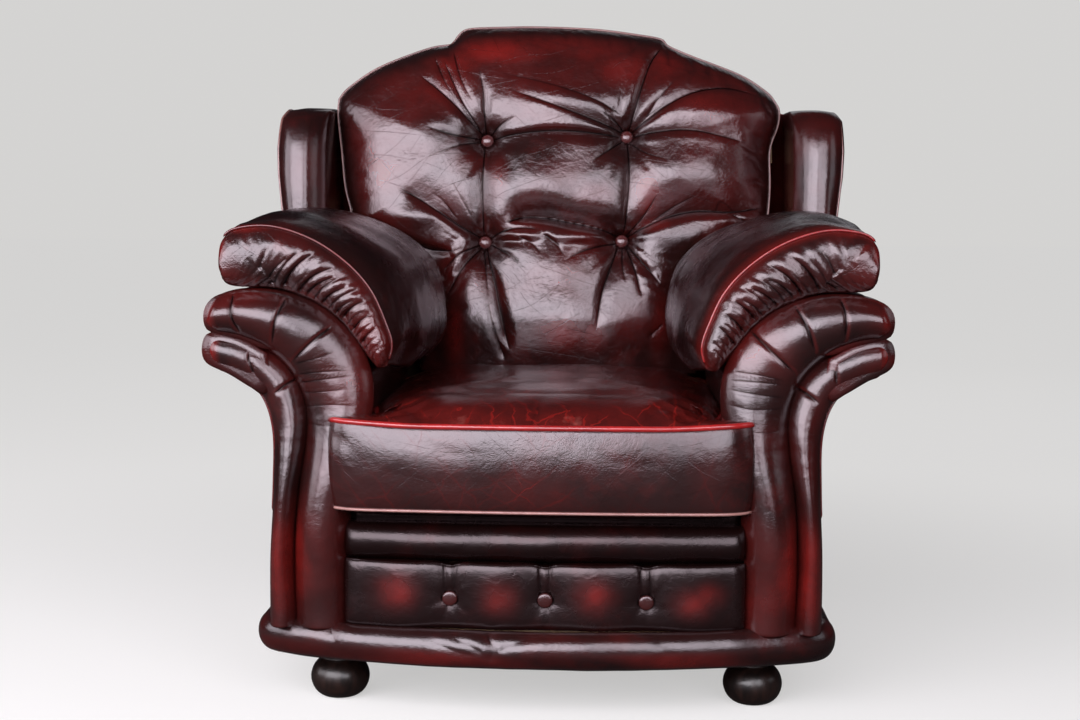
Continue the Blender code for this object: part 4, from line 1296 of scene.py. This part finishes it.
def outside_panel_back(s, t):
    points = outside_panel(s, t)
    full = np.clip(to_end(s) * 400, 0, 1) * np.clip(to_end(t) * 400, 0, 1)
    points[:, 0] -= 0.007 * np.sin(np.pi * np.clip(s, 0, 1)) ** 0.05 * full
    return points


def lining(s, t):
    flat = sample(LINING, t)
    return stack(flat[:, 0], ARM_FRONT + 0.490 * s, flat[:, 1])


def lining_back(s, t):
    points = lining(s, t)
    points[:, 0] += 0.022 * np.clip(to_end(s) * 60, 0, 1) * np.clip(to_end(t) * 30, 0, 1)
    return points


def make_arm_sides(label, side):
    for which, outline in (("upper", UPPER_BOLSTER), ("lower", LOWER_BOLSTER)):
        edit = merged(surface(56, 100, bolster(outline)), side=side)
        made = skin(f"arm_bolster_{which}_{label}", edit)
        points, normals = points_of(made)
        out = smoothstep(side * normals[:, 0], -0.2, 0.5)
        lumps = ripple(points, 8.0, 3.0) * 0.0025 + ripple(points * (22.0, 7.0, 22.0), 1.0, 8.0) * 0.0012
        points += normals * (lumps * out)[:, None]
        place_points(made, points)
        worn = rubbed(front_view(points, side), BOLSTER_SPOTS) * mottled(points, 0.6, 0.4, 2.0, 14.0)
        paint(made, wear=np.maximum(worn, mottled(points, 0.12, 0.26, 9.0)))

    edit = merged(surface(60, 44, outside_panel), surface(60, 44, outside_panel_back), side=side)
    made = skin(f"outside_arm_{label}", edit)
    points, normals = points_of(made)
    points[:, 0] += side * (ripple(points, 7.0, 6.0) * 0.002) * smoothstep(side * normals[:, 0], 0, 0.5)
    place_points(made, points)
    worn = 0.5 * smoothstep(0.24 - points[:, 2], 0, 0.1)
    worn += 0.3 * smoothstep(ripple(points, 5.0, 1.0), 0.1, 0.6)
    paint(made, wear=np.maximum(worn, mottled(points, 0.14, 0.26, 5.0)))
    skin(f"inside_arm_{label}", merged(surface(60, 30, lining), surface(60, 30, lining_back), side=side))


for label, side in SIDES:
    make_arm_sides(label, side)


# %% [markdown]
# The seat is a loose box cushion: a top and a bottom panel, a boxing strip between them, and
# piping in both seams. Its front laps over the arm fronts, as the bar of a T, and its top is
# crowned by the filling. Sitting has rubbed the red through along its front edge.

# %% The seat cushion
SEAT_LOW, SEAT_TOP = 0.2975, 0.4150
SEAT_HALF_PLAN = [(240, -446.2), (261, -442.5), (278, -435.5), (288.5, -426), (294, -417), (289, -412.5),
    (262, -413), (246, -411), (241, -398), (240, -370), (247, -330), (257, -260), (262, -180), (262, 140),
    (256, 182), (238, 198), (200, 200)]
SEAT_FRONT_LINE = [(x, -0.4545 + 0.0083 * (x / 0.240) ** 2) for x in np.linspace(-0.240, 0.240, 13)]
SEAT_PLAN = joined(
    smooth_path(SEAT_FRONT_LINE, 80),
    curve(SEAT_HALF_PLAN, 180),
    curve([(200, 200), (0, 200), (-200, 200)], 30),
    curve([(-x, y) for x, y in SEAT_HALF_PLAN[::-1]], 180),
    count=541,
)
SEAT_MIDDLE = np.array([0.0, -0.12])
SEAT_TOP_FOLDS = folds_of([
    ([(-20, -452), (-6, -380), (12, -300)], 20, 4, 1, 0),
    ([(70, -450), (76, -390), (70, -320)], 18, 3, 1, 0.3),
    ([(-262, -440), (-200, -390), (-130, -360)], 22, 4, 1, 0),
    ([(262, -440), (190, -400), (120, -380)], 22, 4, 1, 0),
    ([(-200, -330), (0, -345), (180, -330)], 26, 3, 3, 0.3),
])
SEAT_FRONT_FOLDS = folds_of([
    ([(-292, 400), (-262, 378), (-240, 345)], 14, 3.5, 1, 0),
    ([(-290, 300), (-262, 318), (-245, 350)], 14, 3, 1, 0),
    ([(292, 400), (268, 376), (250, 348)], 14, 3.5, 1, 0),
    ([(290, 300), (266, 318), (250, 345)], 14, 3, 1, 0),
    ([(-180, 402), (-120, 380), (-40, 384)], 10, 1.4, 0.4, 0.2),
    ([(40, 402), (90, 372), (190, 366)], 10, 1.4, 0.4, -0.2),
    ([(-220, 350), (-120, 336), (-20, 352)], 12, 1.2, 0.4, 0.2),
])
SEAT_CORNER_SPOTS = [((-225, -415), (60, 50), 0.8), ((235, -425), (40, 40), 0.55)]
BOXING_SPOTS = [((-30, 365), (60, 35), 0.28), ((100, 345), (100, 30), 0.22)]


def seat_lift(plan):
    """How much the front corners stand up."""
    return 0.005 * smoothstep(np.abs(plan[:, 0]), 0.16, 0.30) * smoothstep(-plan[:, 1], 0.395, 0.43)


def seat_aside(plan):
    """How far the front has shifted to the left."""
    return 0.0065 * smoothstep(-plan[:, 1], 0.33, 0.42)


def seat_skin(s, t):
    """s runs round the cushion; t from the middle of its underside, up the boxing, to the top."""
    plan = sample(SEAT_PLAN, s)
    low_end, box_end = 0.14, 0.44
    under = np.clip(t / low_end, 0, 1)
    box = np.clip((t - low_end) / (box_end - low_end), 0, 1)
    over = np.clip((t - box_end) / (1 - box_end), 0, 1)
    share = np.where(t < low_end, under, (1 - over) ** 1.15)
    # the boxing bulges between its seams, most at the front
    front = smoothstep(-plan[:, 1], 0.395, 0.43)
    ear = front * smoothstep(np.abs(plan[:, 0]), 0.270, 0.292)
    belly = np.sin(np.pi * box) ** 0.62 * (t >= low_end) * (t <= box_end)
    flat = SEAT_MIDDLE + (plan - SEAT_MIDDLE) * share[:, None]
    flat[:, 1] -= 0.0095 * front * belly
    flat[:, 0] += 0.0050 * ear * belly * np.sign(plan[:, 0]) - seat_aside(flat)
    underside = SEAT_LOW - 0.0108 * smoothstep(1 - under, 0, 0.08)
    z = np.where(t < low_end, underside, SEAT_LOW + (SEAT_TOP - SEAT_LOW) * box)
    return np.column_stack([flat, z + seat_lift(plan) * np.maximum(box, over) * (share > 0.2)])


def make_seat_cushion():
    made = skin("seat_cushion", merged(surface(270, 92, seat_skin)), SEAT_LEATHER)
    points, _ = points_of(made)
    gap = distance_to(points[:, :2], SEAT_PLAN[::4])
    top = (points[:, 2] > SEAT_TOP - 1e-5) & (gap > 1e-4)
    points[top, 2] += 0.034 * (1 - np.exp(-gap[top] / 0.055))
    place_points(made, points)
    inflate(made, np.maximum(1 - smoothstep(gap, 0.001, 0.010), points[:, 2] < SEAT_TOP - 1e-5), 0.008)
    points, _ = points_of(made)
    press, lines = fold_depth(points[:, :2], SEAT_TOP_FOLDS)
    dents = ripple(points, 5.0, 12.0) * 0.0045 + ripple(points, 15.0, 4.0) * 0.0012 - press
    points[top, 2] += (dents * smoothstep(gap, 0.0, 0.03))[top]
    place_points(made, points)
    points, normals = points_of(made)
    front = (~top) & (normals[:, 1] < -0.3)
    above, below = points[:, 2] - SEAT_LOW, SEAT_TOP - points[:, 2]
    inside = smoothstep(above, 0, 0.02) * smoothstep(below, 0, 0.02)
    press, _ = fold_depth(front_view(points), SEAT_FRONT_FOLDS)
    wrinkles = ripple(points * (6.0, 1.0, 12.0), 1.0, 5.0) * 0.0009 - 0.6 * press
    points[front, 1] -= (wrinkles * inside)[front]
    place_points(made, points)

    x, y, z = points.T
    patches = mottled(points * (0.6, 1.3, 1.0), 0.5, 0.6, 3.0, 16.0)
    edge_red = 1.25 * bell(np.clip(y + 0.440, 0, 1), 0.085) * top
    corner_red = rubbed(points[:, :2], SEAT_CORNER_SPOTS) * top
    back_red = 0.65 * bell(y - 0.035, 0.060) * top * bell(x + 0.02, 0.15)
    worn = [
        edge_red * (0.30 + 0.7 * patches),
        corner_red * (0.45 + 0.55 * patches),
        back_red * patches,
        rubbed(front_view(points), BOXING_SPOTS) * front * patches,
        0.25 * bell(z - SEAT_TOP, 0.005),
        mottled(points, np.where(top, 0.58, 0.16), 0.30, 6.0),
    ]
    paint(made, wear=np.maximum.reduce(worn))
    paint_folds(made, lines, top * 0.6)


make_seat_cushion()
ring = SEAT_PLAN[:-1:2]
x, y = ring[:, 0] - seat_aside(ring), ring[:, 1] - 0.0010 * (ring[:, 1] < -0.41)
# the bottom piping's pale colour is partly a painted highlight
for label, height, radius, wear, finish in (
    ("top", SEAT_TOP + 0.0006 + seat_lift(ring), 0.0042, 0.97, PIPING_LEATHER),
    ("bottom", SEAT_LOW, 0.0022, 0.9, PALE_PIPING),
):
    path = stack(x, y, height)
    tube(f"seat_piping_{label}", path, radius, 0.88 * wear, finish, closed=True, patches=0.12 * wear)


# %% [markdown]
# Under the cushion, a plain padded roll and the buttoned panel cover the front rail. The panel's
# leather is pleated up from each button to its top edge.

# %% The front roll and panel
PANEL_HALF, PANEL_FRONT, PANEL_BOW = 0.2830, -0.4440, 0.018
PANEL_REAR = SCROLL_REAR + 0.001
FRONT_BUTTONS = {"left": (-131, 172), "middle": (2, 172), "right": (143, 170)}
FLAT_DOME = [(0, -4), (9.2, -3.5), (10.6, -1), (10.8, 0.8), (10, 2.4), (8, 3.2), (4.5, 3.6), (0, 3.7)]
PANEL_SPOTS = [
    ((-207, 181), (30, 26), 0.86), ((-62, 176), (26, 24), 0.76), ((72, 180), (27, 25), 0.86),
    ((207, 170), (26, 20), 0.85), ((228, 180), (22, 18), 0.8),
]


def padded_front(front, bow, low, high, rear, forward_power, lift_power, pad_depth):
    """A bowed panel padded at the front, closed behind: s runs across it, t round its section."""

    def place(s, t):
        cap = np.clip(to_end(s) / 0.004, 0, 1)
        x = PANEL_HALF * (2 * s - 1)
        angle = (np.clip(t / 0.72, 0, 1) - 0.5) * math.pi
        ends = np.clip(1 - to_end(s) / 0.035, 0, 1)
        y = front + bow * (x / PANEL_HALF) ** 2 + 0.014 * (1 - np.sqrt(1 - ends**2 * 0.999))
        y += pad_depth * (1 - np.abs(np.cos(angle)) ** forward_power)
        behind = np.clip((t - 0.72) / 0.28, 0, 1)
        y += (rear - y) * np.clip(to_end(behind) / 0.2, 0, 1)
        falling = 1 - 2 * np.clip((behind - 0.2) / 0.6, 0, 1)
        lift = np.where(behind > 0, falling, power(np.sin(angle), lift_power))
        return stack(x, rear + (y - rear) * cap, (low + high) / 2 + (high - low) / 2 * lift * cap)

    return place


def make_edge_roll():
    shape = padded_front(-0.4400, 0.016, 0.2215, 0.2745, PANEL_REAR, 0.85, 0.95, 0.030)
    made = skin("edge_roll", merged(surface(150, 52, shape)))
    points, normals = points_of(made)
    points[:, 1] += ripple(points * (14.0, 1.0, 30.0), 1.0, 3.0) * 0.0010 * (normals[:, 1] < 0)
    place_points(made, points)
    # the roll is darkened all over as painted shade, under the cushion's overhang
    paint(made, wear=0.08 * smoothstep(ripple(points, 9.0, 8.0), 0.1, 0.5), crease=0.58)

    # a strip of leather covers the front of the deck, behind the roll, painted black all over as painted
    # shade for the dark gap under the cushion
    shape = padded_front(-0.4030, 0.004, 0.2665, 0.2965, -0.376, 0.6, 0.8, 0.012)
    paint(skin("deck_front_strip_painted_shade", merged(surface(60, 24, shape)), stands_for=False), crease=1.0)


def make_front_panel():
    shape = padded_front(PANEL_FRONT, PANEL_BOW, 0.1285, 0.2225, PANEL_REAR, 0.28, 0.66, 0.018)
    made = skin("front_panel", merged(surface(250, 84, shape)))
    points, normals = points_of(made)
    flat = front_view(points)
    press = np.zeros(len(points))
    crease = np.zeros(len(points))
    near_top = smoothstep(points[:, 2], 0.190, 0.218)
    dip = np.zeros(len(points))
    for x, z in map(mm, FRONT_BUTTONS.values()):
        radius = np.hypot(flat[:, 0] - x, flat[:, 1] - z)
        press += 0.0060 / (1 + (radius / 0.013) ** 2.4)
        crease = np.maximum(crease, bell(radius - 0.0118, 0.0014))
        for offset in (-0.0065, 0.0065):
            pleat = [(x + offset * 0.8, z + 0.006), (x + offset, z + 0.028), (x + offset * 1.1, 0.228)]
            gap = distance_to(flat, smooth_path(pleat, 16))
            press += 0.0036 * np.exp(-gap / 0.0030)
            crease = np.maximum(crease, 0.8 * bell(gap, 0.0016))
        angle = np.arctan2(flat[:, 1] - z, flat[:, 0] - x)
        fan = stack(np.cos(angle) * 2.0, np.sin(angle) * 2.0, radius * 12 + x * 9)
        press += ripple(fan) * 0.0010 * bell(radius - 0.020, 0.016)
        dip += 0.0045 * bell(flat[:, 0] - x, 0.014)
    belly = 0.0028 * np.cos((flat[:, 0] - 0.006) / 0.137 * math.tau)
    lumps = ripple(points * (10.0, 1.0, 16.0), 1.0, 6.0) * 0.0012
    points[:, 1] += (press + belly + lumps) * smoothstep(-normals[:, 1], -0.1, 0.5)
    points[:, 2] -= dip * near_top
    place_points(made, points)
    worn = rubbed(flat, PANEL_SPOTS)
    # Painted shade: the rings round the buttons, the pleat lines and, less on the rubbed patches, the whole
    # panel are darkened
    crease = np.maximum(crease, 0.50 - 0.42 * np.clip(worn, 0, 1))
    paint(made, wear=worn * mottled(points, 0.85, 0.3, 0.0, 40.0), crease=crease)
    for label, spot in FRONT_BUTTONS.items():
        x, z = mm(spot)
        y = PANEL_FRONT + PANEL_BOW * (x / PANEL_HALF) ** 2 + 0.0055
        make_button(f"front_button_{label}", x, y, z, 0.0, FLAT_DOME, SMOOTH_LEATHER)


make_edge_roll()
make_front_panel()

# %% [markdown]
# The base roll runs round the foot of the chair. Its front part is a fat roll with rounded ends,
# bowed like the panel, and a plainer roll goes back along each side.


# %% The base roll
BASE_HALF_PATH = [
    (0, -451.5), (120, -445), (240, -423.5), (320, -401), (365, -385), (388, -369), (394.5, -348),
    (395, -330),
]
BASE_PATH = curve([(-x, y) for x, y in BASE_HALF_PATH[:0:-1]] + BASE_HALF_PATH, 500)
BASE_SIDE_PATH = curve([(395, -340), (395, 0), (392.5, 276)], 60)
BASE_MIDDLE_Z, BASE_HALF_HEIGHT, BASE_HALF_DEPTH = 0.1035, 0.0265, 0.0225
BASE_LIMITS = (0.0772, 0.1302)
BASE_FOLDS = folds_of([
    ([(-76, 127), (-68, 110), (-74, 88)], 10, 4.5, 2.5, 0.3),
    ([(-120, 122), (-98, 112), (-80, 102)], 8, 1.8, 2.2, 0.3),
    ([(-22, 124), (-44, 116), (-62, 106)], 8, 1.4, 2.2, 0),
    ([(-150, 116), (-118, 104), (-90, 98)], 7, 1.5, 2, 0),
    ([(160, 124), (168, 104), (162, 86)], 10, 1.8, 1.2, 0),
    ([(-300, 122), (-292, 104), (-298, 88)], 10, 2.2, 1.2, 0),
])


def base_section(path, closing):
    """A fat roll along a path in plan: s runs round its section and t along it."""
    way = np.gradient(path, axis=0)
    way /= np.linalg.norm(way, axis=1)[:, None]
    outward = stack(way[:, 1], -way[:, 0])

    def place(s, t):
        size = np.sqrt(1 - np.clip(1 - to_end(t) / closing, 0, 1) ** 2)
        angle = s * math.tau
        away = BASE_HALF_DEPTH * power(np.cos(angle), 0.95) * size
        flat = sample(path, t) + sample(outward, t) * away[:, None]
        return np.column_stack([flat, BASE_MIDDLE_Z + BASE_HALF_HEIGHT * np.sin(angle) * size])

    return place


def shift_base(made, points, normals, amount):
    points += normals * amount[:, None]
    points[:, 2] = np.clip(points[:, 2], *BASE_LIMITS)
    place_points(made, points)


def make_base_roll():
    made = skin("base_roll_front", merged(surface(60, 320, base_section(BASE_PATH, 0.01))))
    points, normals = points_of(made)
    lumps = ripple(points * (8.0, 5.0, 14.0), 1.0, 2.0) * 0.0018 + ripple(points, 26.0, 7.0) * 0.0004
    front = smoothstep(-normals[:, 1], -0.4, 0.4)
    press, lines = fold_depth(front_view(points), BASE_FOLDS)
    shift_base(made, points, normals, lumps - press * front)
    low = smoothstep(0.108 - points[:, 2], -0.004, 0.012) * smoothstep(points[:, 2], 0.077, 0.084)
    streak = np.clip(mottled(points * (7.0, 7.0, 24.0), 0.42, 0.8, 4.0, 1.0), 0, 1)
    ends = smoothstep(np.abs(points[:, 0]), 0.385, 0.415)
    # the lower part between the red streaks is darkened as painted shade
    paint(made, wear=np.maximum(0.85 * low * streak, 0.45 * ends * streak), crease=0.30 * (1 - streak) * low)
    paint_folds(made, lines, front * 0.8)
    for label, side in SIDES:
        edit = merged(surface(44, 130, base_section(BASE_SIDE_PATH, 0.02)), side=side)
        made = skin(f"base_roll_{label}", edit)
        points, normals = points_of(made)
        shift_base(made, points, normals, ripple(points * (5.0, 9.0, 14.0), 1.0, 6.0) * 0.0014)
        low = smoothstep(0.104 - points[:, 2], -0.004, 0.014)
        paint(made, wear=0.6 * low * mottled(points, 0.5, 0.5, 4.0, 9.0))


make_base_roll()


# %% [markdown]
# The wings are padded boards that stand on the arms. Each has a fat rounded front edge and piping
# along the outer edge of its front.

# %% Wings
WING_MIDDLE_X, WING_HALF_WIDTH = 0.438, 0.040
WING_PATH = curve([(120, 600), (124, 690), (132, 790), (146, 845), (172, 874), (215, 885), (300, 888)], 200)
# How far the outer face leans out at each height
WING_LEAN = [0.60, 0.695, 0.770, 0.815, 0.866, 0.888], [-0.010, -0.006, 0.003, 0.005, 0.002, -0.010]


def wing_skin(s, t):
    """s runs round the wing's section, t along its front edge from the arm to the back."""
    y_front, height = sample(WING_PATH, t).T
    over = smoothstep(t, 0.72, 1.0)
    angle = s * math.tau
    outer = np.cos(angle) > 0
    across = power(np.cos(angle), np.where(outer, 0.88, 1.0))
    along = np.sin(angle)
    lean = np.where(outer, np.interp(height, *WING_LEAN), 0) * np.abs(across)
    x = WING_MIDDLE_X + 0.002 * (1 - over) + WING_HALF_WIDTH * across * (1 - 0.10 * over) + lean
    y_corner = y_front + 0.034
    back = y_corner + (back_y(0.2855, height) - y_corner) * np.abs(along) ** 0.25
    y = np.where(along > 0, y_corner - 0.038 * np.abs(along) ** 1.35, back)
    return stack(x, y, height - 0.034 * smoothstep(x - WING_MIDDLE_X, 0.000, 0.042) ** 1.5 * over)


def make_wing(label, side):
    edit = mirror_x(surface(120, 90, wing_skin), side)
    bmesh.ops.remove_doubles(edit, verts=edit.verts, dist=MERGE_DISTANCE)
    made = skin(f"wing_{label}", filled(edit))
    points, normals = points_of(made)
    upright = ripple(points * (70.0, 10.0, 5.0), 1.0, 3.0 + side) * 0.0010
    soft = ripple(points, 9.0, 14.0) * 0.0018 + upright * smoothstep(-normals[:, 1], 0.2, 0.8)
    points += normals * (soft * smoothstep(-normals[:, 1], -1.5, 0.5))[:, None]
    place_points(made, points)
    worn = rubbed(front_view(points, side), [((392, 720), (14, 100), 0.35)])
    paint(made, wear=np.maximum(worn, mottled(points, 0.10, 0.22, 6.0)))
    path = wing_skin(np.full(90, 0.075), np.linspace(0.0, 0.98, 90)) * (side, 1, 1)
    # its pale piping is partly a painted highlight
    tube(f"wing_piping_{label}", path, 0.0018, 0.5, PALE_PIPING)


for label, side in SIDES:
    make_wing(label, side)


# %% [markdown]
# Behind, one flat cover of leather closes the back, with piping at its edge, and a padded band
# joins it to the cushion over the shoulders and the crest.

# %% Crest padding and the outside back
CREST_EDGE = joined(SIDE_LEFT[200:], TOP_EDGE, SIDE_RIGHT[200:][::-1], count=400)
CREST_MIDDLE = mm((0, 840))
OUTSIDE_EDGE = joined(
    np.array([(0.0, 0.0790), (0.374, 0.0790)]),
    curve([(374, 79), (379, 85), (380, 115), (385, 129), (390, 142), (388, 330), (391, 420),
        (425, 470), (468, 492), (478, 520)], 80),
    curve([(478, 520), (478, 660), (478, 800), (473, 855), (455, 880), (420, 887), (398, 890)], 60),
    curve([(398, 890), (386, 904), (364, 922), (310, 954), (234, 983), (190, 996)], 50),
    curve([(190, 996), (178, 1012), (160, 1022), (80, 1029), (0, 1031)], 40),
    count=300,
)


def crest_band(s, t):
    """A closed strip: s runs along the crest from side to side, t round the strip's section."""
    cap = np.clip(to_end(s) / 0.004, 0, 1)
    outer = t < 0.6
    back = np.where(outer, t / 0.6, (1 - t) / 0.4)
    under = np.where(outer, 0, 0.035 * np.clip(to_end(back) * 8, 0, 1)) * cap
    shrink = 1 - 0.016 * back + 0.006 * np.sin(np.pi * back) - under
    flat = CREST_MIDDLE + (sample(CREST_EDGE, s) - CREST_MIDDLE) * shrink[:, None]
    return on_back(OUTLINE_DEPTH - 0.002 + (0.2890 - OUTLINE_DEPTH) * back, flat)


def make_crest():
    made = skin("back_crest_pad", merged(surface(220, 50, crest_band)))
    points, normals = points_of(made)
    points += normals * (ripple(points, 9.0, 1.0) * 0.0014)[:, None]
    place_points(made, points)
    paint(made, wear=rubbed(front_view(points), [((0, 1030), (200, 20), 0.4)]))


def outside_skin(s, t):
    """s runs round the cover from the bottom middle, t from its middle line out and round its edge."""
    edge = sample(OUTSIDE_EDGE, 2 * to_end(s))
    edge[:, 0] *= np.where(s < 0.5, 1, -1)
    out = np.clip(t / 0.88, 0, 1)
    spine = np.clip(edge[:, 1], 0.16, 1.0)
    gap = (1 - out) * np.abs(edge[:, 0])
    belly = 0.003 * (1 - np.exp(-gap / 0.05)) - 0.005 * np.exp(-gap / 0.004)
    depth = 0.2935 + belly - 0.010 * np.clip((t - 0.88) / 0.12, 0, 1)
    return on_back(depth, stack(edge[:, 0] * out, spine + (edge[:, 1] - spine) * out))


def make_outside_back():
    edit = surface(300, 60, outside_skin)
    bmesh.ops.remove_doubles(edit, verts=edit.verts, dist=MERGE_DISTANCE)
    made = skin("outside_back", filled(edit))
    points, normals = points_of(made)
    lumps = ripple(points, 5.0, 21.0) * 0.003 + ripple(points, 13.0, 2.0) * 0.001
    points[:, 1] += lumps * smoothstep(normals[:, 1], 0.3, 0.9)
    points[:, 1] = np.minimum(points[:, 1], 0.480)
    place_points(made, points)
    patches = 0.35 * smoothstep(ripple(points, 4.0, 8.0), 0.1, 0.6)
    patches += 0.4 * smoothstep(0.2 - points[:, 2], 0, 0.07)
    paint(made, wear=np.maximum(patches, mottled(points, 0.16, 0.26, 3.0)))
    edge = OUTSIDE_EDGE[::2]
    whole = np.vstack([edge, edge[:0:-1] * (-1, 1)])
    tube("outside_back_piping", on_back(0.2900, whole), 0.0026, 0.35, closed=True)


make_crest()
make_outside_back()
# the cushion's pale piping is partly a painted highlight
path = on_back(OUTLINE_DEPTH - 0.001, BACK_OUTLINE[60:-60:2])
tube("back_cushion_piping", path, 0.0019, 0.45, PALE_PIPING, patches=0.45, scale=8.0)


# %% [markdown]
# The bun feet are turned from wood, stained almost black and polished. Below each is a small
# glide, and a turned neck joins it to the frame.

# %% Feet
FOOT_PROFILE = [
    (0, 0.2), (22, 0.2), (26, 1.2), (34, 6), (40, 14), (43.5, 25), (43.2, 34), (40, 44), (34.5, 51.5),
    (29, 55.5), (26.8, 57.5), (27.5, 60), (30.5, 62.5), (31.5, 65), (30.5, 68), (30, 77.2), (0, 77.2),
]


def wood(name, dark, light, rings, roughness, coat=0.0, coat_roughness=0.03):
    made, tree, shader, where = new_material(name)
    grain = node(tree, "Mapping", {"Vector": where, "Scale": rings}).outputs[0]
    lines = noise(tree, grain, 9.0, 5.0, 0.6, 1.2)
    pores = noise(tree, grain, 60.0, 3.0, 0.5)
    feed(tree, shader, {
        "Base Color": mix(tree, ramp(tree, lines, 0.35, 0.68), dark, light),
        "Roughness": ramp(tree, lines, 0.3, 0.7, roughness, roughness + 0.12),
        "Normal": bump(tree, times(tree, pores, 0.0002)),
        "Coat Weight": coat,
        "Coat Roughness": coat_roughness,
    })
    return made


DARK_GRAIN, LIGHT_GRAIN = (0.006, 0.0032, 0.0028, 1), (0.016, 0.006, 0.004, 1)
STAINED = wood("dark_stained_beech", DARK_GRAIN, LIGHT_GRAIN, (6, 6, 1.2), 0.28, 0.25, 0.16)
for name in [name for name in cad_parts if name.startswith("foot_")]:
    low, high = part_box(name)
    edit = spun(FOOT_PROFILE, 40)
    bmesh.ops.translate(edit, vec=((low.x + high.x) / 2, (low.y + high.y) / 2, low.z), verts=edit.verts)
    piece(name, edit, STAINED, (name,), levels=1)

# %% [markdown]
# The frame, the springs and the dust cover keep their construction solids, with real finishes.


# %% Frame finishes
def cloth(name, colour, thread, scale):
    made, tree, shader, where = new_material(name)
    waves = {"Vector": where, "Scale": scale, "Distortion": 0.6}
    threads = [node(tree, "TexWave", waves, bands_direction=way).outputs["Fac"] for way in "XY"]
    weave = times(tree, *threads)
    shade = calc(tree, "ADD", times(tree, weave, 0.6), times(tree, noise(tree, where, 30.0), 0.4))
    normal = bump(tree, times(tree, weave, 0.0006))
    feed(tree, shader, {"Base Color": mix(tree, shade, colour, thread), "Normal": normal, "Roughness": 0.95})
    return made


BEECH = wood("planed_beech", (0.42, 0.26, 0.14, 1), (0.62, 0.42, 0.26, 1), (5, 0.6, 5), 0.55)
STEEL, tree, shader, where = new_material("spring_wire")
spots = noise(tree, where, 40.0, 4.0)
feed(tree, shader, {
    "Metallic": 1.0,
    "Base Color": mix(tree, ramp(tree, spots, 0.45, 0.65), (0.36, 0.37, 0.39, 1), (0.20, 0.13, 0.09, 1)),
    "Roughness": ramp(tree, spots, 0.4, 0.7, 0.3, 0.7),
})
BLACK_CLOTH = cloth("black_dust_cloth", (0.010, 0.010, 0.011, 1), (0.035, 0.035, 0.038, 1), 260.0)
HESSIAN = cloth("jute_hessian", (0.30, 0.22, 0.13, 1), (0.52, 0.41, 0.26, 1), 120.0)
FINISHES = {
    "rail": BEECH, "post": BEECH, "upright": BEECH, "block": BEECH, "spring": STEEL, "dust": BLACK_CLOTH,
}
for name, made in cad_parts.items():
    for word, finish in FINISHES.items():
        if word in name:
            for slot in made.material_slots:
                slot.material = finish

DECK_WIDTH, DECK_LENGTH = 0.531, 0.603
DECK_EDGE_Z, DECK_CROWN = 0.2685, 0.0178


def deck_skin(s, t):
    edge = np.minimum(to_end(s) * DECK_WIDTH, to_end(t) * DECK_LENGTH)
    height = DECK_EDGE_Z + DECK_CROWN * (1 - np.exp(-edge / 0.008))
    return stack(DECK_WIDTH * (s - 0.5), ARM_FRONT + DECK_LENGTH * t, height)


edit = surface(90, 100, deck_skin)
grown = bmesh.ops.extrude_edge_only(edit, edges=[e for e in edit.edges if e.is_boundary])["geom"]
bmesh.ops.translate(edit, vec=(0, 0, -0.0002), verts=[v for v in grown if isinstance(v, bmesh.types.BMVert)])
piece("seat_deck", filled(edit), HESSIAN, ("seat_deck",))

# %% Sizes and finish
boxes = {"cad": cad_box, "visual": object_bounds()}
{label: [list(corner) for corner in box] for label, box in boxes.items()}
